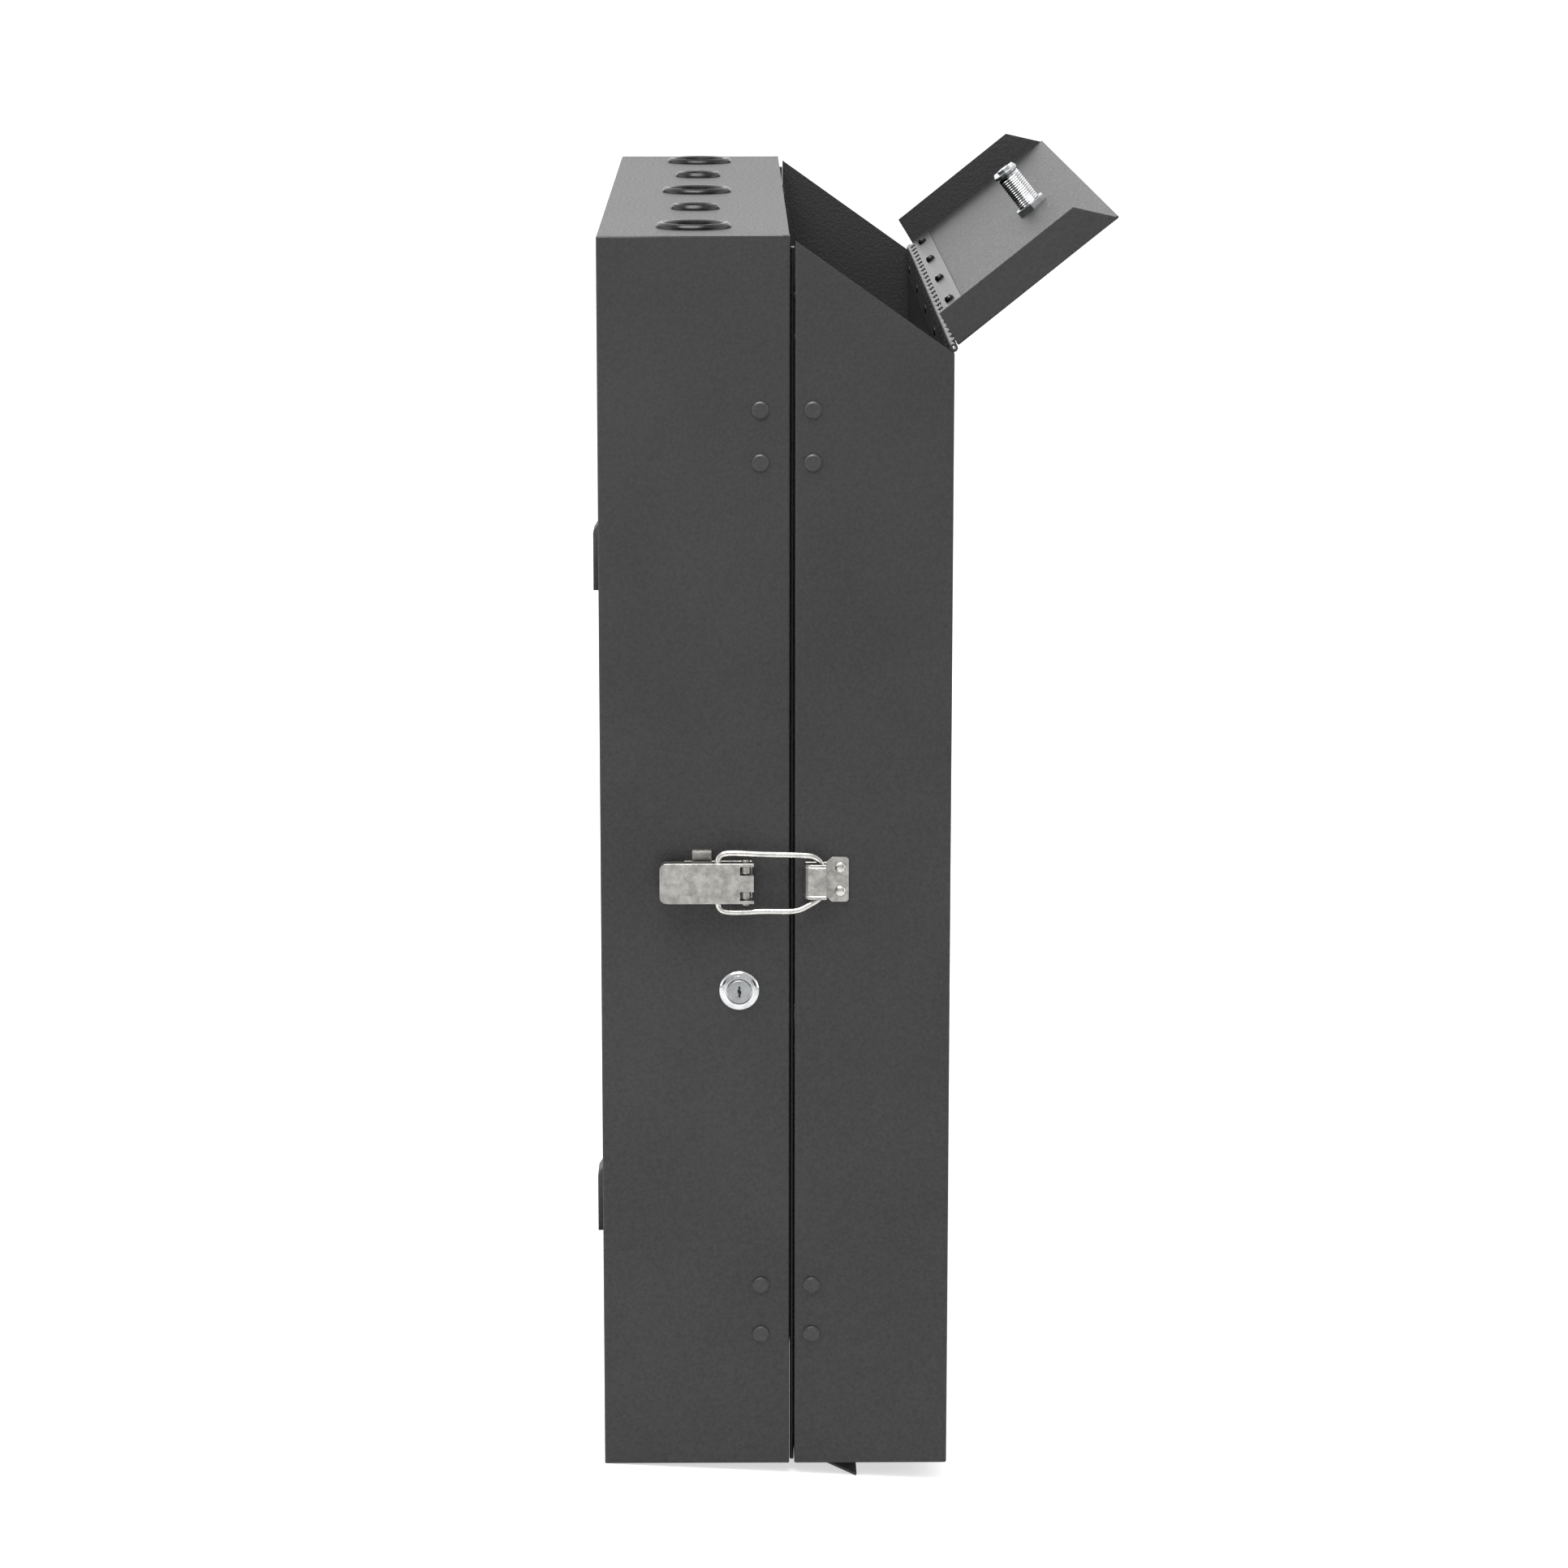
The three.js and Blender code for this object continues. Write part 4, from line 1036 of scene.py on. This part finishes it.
@dataclass
class CamLock(SubAssembly):
    """A cam lock: flange, recessed face with its key slot drawn as a black slab of painted shade, threaded
    barrel, nut, cam and screw.
    """

    prefix: str
    joint: str
    body: Body
    core: Body
    length: float
    outward_sign: float
    flange: float = 11.75 * MM
    ring: float = 9.2 * MM
    face: float = 7.1 * MM
    barrel: float = 7.1 * MM
    thread_pitch: float = 1.5 * MM
    ridge: float = 0.5 * MM
    bore: float = 5.8 * MM
    rise: float = 2.1 * MM
    plate: float = 6.6 * MM

    def build(self) -> None:
        """Builds the lock about its joint's axis."""
        joint = JOINTS[self.joint]
        outward = Vector(joint["axis"]).normalized() * self.outward_sign
        origin = Vector(joint["pos_m"])
        place = facing(origin, outward)
        flange, ring, rise = self.flange, self.ring, self.rise
        inner = self.face + 0.3 * MM
        profile = [(self.bore, -self.length), (self.barrel - 0.5 * MM, -self.length),
                   (self.barrel, -self.length + 0.5 * MM), (self.barrel, 0.05 * MM), (flange, 0.05 * MM),
                   (flange, 0.6 * MM), (flange - 0.5 * MM, 1.3 * MM), (flange - 1.6 * MM, 1.9 * MM),
                   (ring + 0.3 * MM, rise), (ring, rise + 0.1 * MM), (ring - 0.2 * MM, rise + 0.7 * MM),
                   (ring - 0.7 * MM, rise + 0.9 * MM), (inner + 0.3 * MM, rise + 0.9 * MM),
                   (inner, rise + 0.6 * MM), (inner, 0.6 * MM), (self.bore, 0.6 * MM)]
        body = turned(f"{self.prefix}_barrel", profile, place, 72, closed=True)
        dress(body, self.finishes.chrome, self.body, [f"{self.prefix}_body"])

        count = int((self.length - 4 * MM) / self.thread_pitch)
        rings = [(origin - outward * (3 * MM + i * self.thread_pitch), outward) for i in range(count)]
        ridges = carriers(f"{self.prefix}_thread", rings)
        run_tree(ridges, thread_tree(), {"Radius": self.barrel - 0.1 * MM, "Ridge": self.ridge,
                                         "Material": self.finishes.chrome})
        shade(ridges, 40)
        dress(ridges, self.finishes.chrome, self.body)

        for part, material, slot, owner, edge in (
                ("nut", self.finishes.zinc, Slot.ZINC, self.body, 0.35 * MM),
                ("plug", self.finishes.satin, Slot.CHROME, self.core, 0.15 * MM),
                ("cam", self.finishes.zinc, Slot.ZINC, self.core, 0.35 * MM),
                ("cam_screw", self.finishes.zinc, Slot.ZINC, self.core, 0.5 * MM)):
            node = f"{self.prefix}_{part}"
            piece = softened(node, f"{self.prefix}_{part}_finished", edge)
            dress(piece, material, owner, [node])
        self.key_face(origin, outward)

    def key_face(self, origin: Vector, outward: Vector) -> None:
        """Caps the plug with a face plate and a thin black slab in the key slot's outline, painted shade that
        stands for the slot's dark hollow.

        Args:
            origin: The joint's place.
            outward: The way the lock faces.
        """
        reach = max((vert.co - origin).dot(outward) for vert in NODES[f"{self.prefix}_plug"].data.vertices)
        rim = self.plate
        profile = [(0, reach - 0.3 * MM), (rim, reach - 0.3 * MM), (rim, reach),
                   (rim - 0.3 * MM, reach + 0.2 * MM), (0, reach + 0.2 * MM)]
        plate = turned(f"{self.prefix}_key_face", profile, facing(origin, outward), 48)
        dress(plate, self.finishes.satin, self.core)
        across = Vector((0, 1, 0)) if abs(outward.x) > 0.5 else Vector((1, 0, 0))
        up = across.cross(outward).normalized()
        seat = origin + outward * (reach + 0.1 * MM)
        outline = [seat + across * u * MM + up * v * MM for u, v in KEYWAY]
        # a black slab 0.12 mm thick on the face: painted shade where the key slot's hollow would be dark
        keyway_shade = slab(f"{self.prefix}_keyway", outline, outward * 0.12 * MM)
        dress(keyway_shade, self.finishes.nylon, self.core)


@dataclass
class DrawLatch(SubAssembly):
    """The draw latch: base with an ear, hollow lever, pin, wire bail, curled catch and rivets."""

    wire: float = 1.75 * MM
    edge: float = 0.4 * MM
    curl: float = 6.0 * MM
    bead: float = 0.55 * MM
    bead_height: float = 8.4 * MM
    bead_lead: float = 3 * MM
    bead_end: float = 12.6 * MM
    dome: float = 3.2 * MM
    dome_rise: float = 1.7 * MM
    shank: float = 2.4 * MM
    shank_depth: float = -4.4 * MM

    def bail(self) -> None:
        """Draws the bail as one smooth bent wire."""
        centre = middle_of("latch_base_rivet_1").z
        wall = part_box("rear_tray")[0].x
        points = [Vector((wall - h * MM, y * MM, centre + z * MM)) for y, z, h in BAIL_PATH]
        piece = tube("latch_bail_wire", rounded(points), self.wire)
        dress(piece, self.finishes.wire, Body.BAIL, ["latch_bail"])

    def beads(self) -> None:
        """Raises a stiffening bead along each edge of the catch's curled band; the beads take the wire
        finish, brighter than the catch's own nickel, as a painted highlight along its edges.
        """
        low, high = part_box("latch_catch")
        centre = (low.z + high.z) / 2
        for label, side in (("upper", 1), ("lower", -1)):
            z = centre + side * self.bead_height
            line = [Vector((low.x + self.curl + self.bead_lead, high.y, z))]
            for step in range(9):
                turn = math.radians(step * 11.25)
                line.append(Vector((low.x + self.curl * (1 - math.sin(turn)),
                                    high.y - self.curl * (1 - math.cos(turn)), z)))
            line.append(Vector((low.x, high.y - self.bead_end, z)))
            piece = tube(f"latch_catch_bead_{label}", line, self.bead)
            # brighter than the catch's nickel: a painted highlight on the band's beads
            dress(piece, self.finishes.wire, Body.FRONT)

    def build(self) -> None:
        """Builds the whole latch."""
        self.bail()
        self.beads()
        for node, body in (("latch_base", Body.REAR), ("latch_lever", Body.LEVER),
                           ("latch_catch", Body.FRONT), ("latch_pin", Body.REAR)):
            piece = softened(node, f"{node}_pressing", self.edge)
            dress(piece, self.finishes.nickel, body, [node])
        for stem, body in (("latch_base_rivet", Body.REAR), ("catch_rivet", Body.FRONT)):
            for name in (f"{stem}_1", f"{stem}_2"):
                centre = middle_of(name)
                seat = Vector((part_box(name)[0].x + self.dome_rise, centre.y, centre.z))
                dome = [(self.dome * math.cos(a), self.dome_rise * math.sin(a))
                        for a in (math.radians(10 * i) for i in range(9))]
                profile = [(0, self.shank_depth), (self.shank, self.shank_depth), (self.shank, 0.0), *dome,
                           (0, self.dome_rise)]
                head = turned(f"{name}_dome", profile, facing(seat, Vector((-1, 0, 0))), 36)
                # the domes take the brighter wire finish rather than the latch's nickel: a painted highlight
                # that makes them stand out
                dress(head, self.finishes.wire, body, [name])


@dataclass
class SeamShadeStrips(SubAssembly):
    """Black strips on the cover's side lips, dark sheets set in the seam as painted shade, which keep light
    out of it.
    """

    inset: float = 6 * MM
    width: float = 6 * MM
    clear: float = 0.3 * MM
    foot: float = 0.5 * MM
    head: float = 4 * MM
    edge: float = 0.5 * MM

    def build(self) -> None:
        """Lays one strip on each side."""
        low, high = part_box("front_cover")
        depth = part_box("rear_tray")[0].y - high.y - 2 * self.clear
        face, top = high.y + self.clear, high.z - self.head
        for label, edge, side in (("latch_side", low.x, 1), ("hinge_side", high.x, -1)):
            near = edge + side * self.inset
            far = near + side * self.width
            outline = [Vector((near, face, self.foot)), Vector((far, face, self.foot)),
                       Vector((far, face, top)), Vector((near, face, top))]
            # each strip is a dark sheet in the seam, painted shade that blocks the light that would show
            # through
            strip = slab(f"seam_shade_strip_{label}", outline, Vector((0, depth, 0)), self.edge)
            dress(strip, self.finishes.nylon, Body.FRONT)


@dataclass
class Striker(SubAssembly):
    """The bracket inside the cover that the side lock's cam holds."""

    edge: float = 0.3 * MM

    def build(self) -> None:
        """Softens and dresses the bracket."""
        piece = softened("lock_striker", "lock_striker_bracket", self.edge)
        dress(piece, self.finishes.zinc, Body.FRONT, ["lock_striker"])


@dataclass
class Studio:
    """A pale floor, a soft white room and the camera."""

    eye: Vector
    yaw: float
    pitch: float
    roll: float
    lens: float
    sensor: float = 36.0
    clip: float = 200.0
    toe: float = -94 * MM
    reach: float = 60.0
    backing: str = "#c4c4c4"
    glow: float = 0.62

    def camera(self) -> None:
        """Places the camera square to the cabinet's latch side, a little above it."""
        ahead = Vector((math.cos(self.yaw) * math.cos(self.pitch),
                        -math.sin(self.yaw) * math.cos(self.pitch), -math.sin(self.pitch)))
        right = ahead.cross(Vector((0, 0, 1))).normalized()
        above = right.cross(ahead)
        tilt = Matrix((right, above, -ahead)).transposed().to_4x4()
        data = bpy.data.cameras.new("cabinet_camera")
        data.lens = self.lens
        data.sensor_width = self.sensor
        data.clip_end = self.clip
        camera = bpy.data.objects.new("cabinet_camera", data)
        camera.matrix_world = Matrix.Translation(self.eye) @ tilt @ Matrix.Rotation(self.roll, 4, "Z")
        bpy.context.scene.collection.objects.link(camera)
        bpy.context.scene.camera = camera

    def floor(self) -> None:
        """Lays the floor through the tray's rear edge and the tips of the cover's feet."""
        tray_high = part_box("rear_tray")[1]
        cover_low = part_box("front_cover")[0]
        heel = Vector((0, tray_high.y - HANGER, 0))
        slope = (Vector((0, self.toe, cover_low.z)) - heel).normalized()
        build = bmesh.new()
        corners = [heel + slope * sy * self.reach + Vector((sx * self.reach, 0, 0))
                   for sx, sy in ((-1, -1), (1, -1), (1, 1), (-1, 1))]
        build.faces.new([build.verts.new(corner) for corner in corners])
        mesh = mesh_from(build, "studio_floor", outward=False)
        if mesh.polygons[0].normal.z < 0:
            mesh.flip_normals()
        floor = new_object("studio_floor", mesh)
        material = bpy.data.materials.new("matt white backing")
        material.use_nodes = True
        tree = material.node_tree
        surface = tree.nodes["Principled BSDF"]
        surface.inputs["Base Color"].default_value = linear(self.backing)
        surface.inputs["Roughness"].default_value = 0.95
        surface.inputs["Specular IOR Level"].default_value = 0.1
        surface.inputs["Emission Color"].default_value = (1, 1, 1, 1)
        seen = add_node(tree, "ShaderNodeLightPath")
        glow = add_node(tree, "ShaderNodeMapRange", span(0.0, self.glow),
                        {"Value": seen.outputs["Is Camera Ray"]})
        tree.links.new(glow.outputs["Result"], surface.inputs["Emission Strength"])
        mesh.materials.append(material)

    def light(self) -> None:
        """Hangs soft lights in a white room, dimmer behind the camera and with a dark flag each side."""
        world = bpy.data.worlds.new("white room")
        world.use_nodes = True
        tree = world.node_tree
        tree.nodes.clear()
        way = add_node(tree, "ShaderNodeTexCoord")
        parts = add_node(tree, "ShaderNodeSeparateXYZ", links={0: way.outputs["Generated"]})
        depth = add_node(tree, "ShaderNodeMapRange", span(0.6, 1.6, -0.8, 0.9), {"Value": parts.outputs["X"]})
        aside = add_node(tree, "ShaderNodeMath", {"operation": "ABSOLUTE"}, {0: parts.outputs["Y"]})
        level = add_node(tree, "ShaderNodeMath", {"operation": "ABSOLUTE"}, {0: parts.outputs["Z"]})
        # the dark flags lie either side near the horizon, and strips at the far sides add light
        near, far, tall, strips = (
            add_node(tree, "ShaderNodeMapRange", span(*limits), {"Value": axis.outputs[0]}).outputs["Result"]
            for limits, axis in (((0.0, 0.88, 0.45, 0.55), aside), ((1.0, 0.0, 0.74, 0.84), aside),
                                 ((1.0, 0.0, 0.2, 0.42), level), ((0.0, 2.0, 0.88, 0.97), aside)))
        band = add_node(tree, "ShaderNodeMath", {"operation": "MULTIPLY"}, {0: near, 1: far})
        flags = add_node(tree, "ShaderNodeMath", {"operation": "MULTIPLY"}, {0: band.outputs[0], 1: tall})
        open_part = add_node(tree, "ShaderNodeMath", {"operation": "SUBTRACT", 0: 1.0}, {1: flags.outputs[0]})
        glow = add_node(tree, "ShaderNodeMath", {"operation": "MULTIPLY_ADD"}, {
            0: depth.outputs["Result"], 1: open_part.outputs[0], 2: strips})
        seen = add_node(tree, "ShaderNodeLightPath")
        room = add_node(tree, "ShaderNodeBackground", {"Color": (1, 1, 1, 1)}, {"Strength": glow.outputs[0]})
        plain = add_node(tree, "ShaderNodeBackground", {"Color": (1, 1, 1, 1), "Strength": 1.0})
        mixed = add_node(tree, "ShaderNodeMixShader", links={
            0: seen.outputs["Is Camera Ray"], 1: room.outputs[0], 2: plain.outputs[0]})
        add_node(tree, "ShaderNodeOutputWorld", links={"Surface": mixed.outputs[0]})
        bpy.context.scene.world = world
        # each lamp's name, place, width and power
        lamps = (("overhead", (-1.0, 0.3, 2.5), 1.6, 85.0), ("left_wall", (-1.2, 2.0, 1.3), 1.4, 20.0),
                 ("right_wall", (-1.4, -2.3, 1.5), 1.8, 12.0))
        aim = Vector((0, 0, 0.4))
        for name, spot, size, power in lamps:
            data = bpy.data.lights.new(name, "AREA")
            data.shape = "SQUARE"
            data.size = size
            data.energy = power
            lamp = bpy.data.objects.new(name, data)
            lamp.matrix_world = facing(Vector(spot), Vector(spot) - aim)
            lamp.visible_camera = False
            lamp.visible_glossy = name == "overhead"
            bpy.context.scene.collection.objects.link(lamp)

    def build(self) -> None:
        """Sets up the camera, the floor and the light."""
        self.camera()
        self.floor()
        self.light()
        bpy.context.scene.view_settings.view_transform = "Standard"
        log.info("studio ready")


def main() -> None:
    """Builds the cabinet's looks from the sheet outwards, then the studio."""
    finishes = make_finishes()
    for assembly in (
            SheetBodies(finishes), PianoHinge(finishes), CornerRivets(finishes), SideHinges(finishes),
            CableBushings(finishes),
            CamLock(finishes, "hatch_lock", "hatch_lock_turn", Body.LID, Body.LID_CORE, 28 * MM, -1.0),
            CamLock(finishes, "side_lock", "side_lock_turn", Body.REAR, Body.SIDE_CORE, 22 * MM, 1.0),
            DrawLatch(finishes), Striker(finishes), SeamShadeStrips(finishes)):
        assembly.build()
    Studio(eye=Vector((-2.94414, -0.02083, 0.94598)), yaw=0.011636, pitch=0.201919, roll=0.00046,
           lens=106.776).build()


if __name__ == "__main__":
    main()
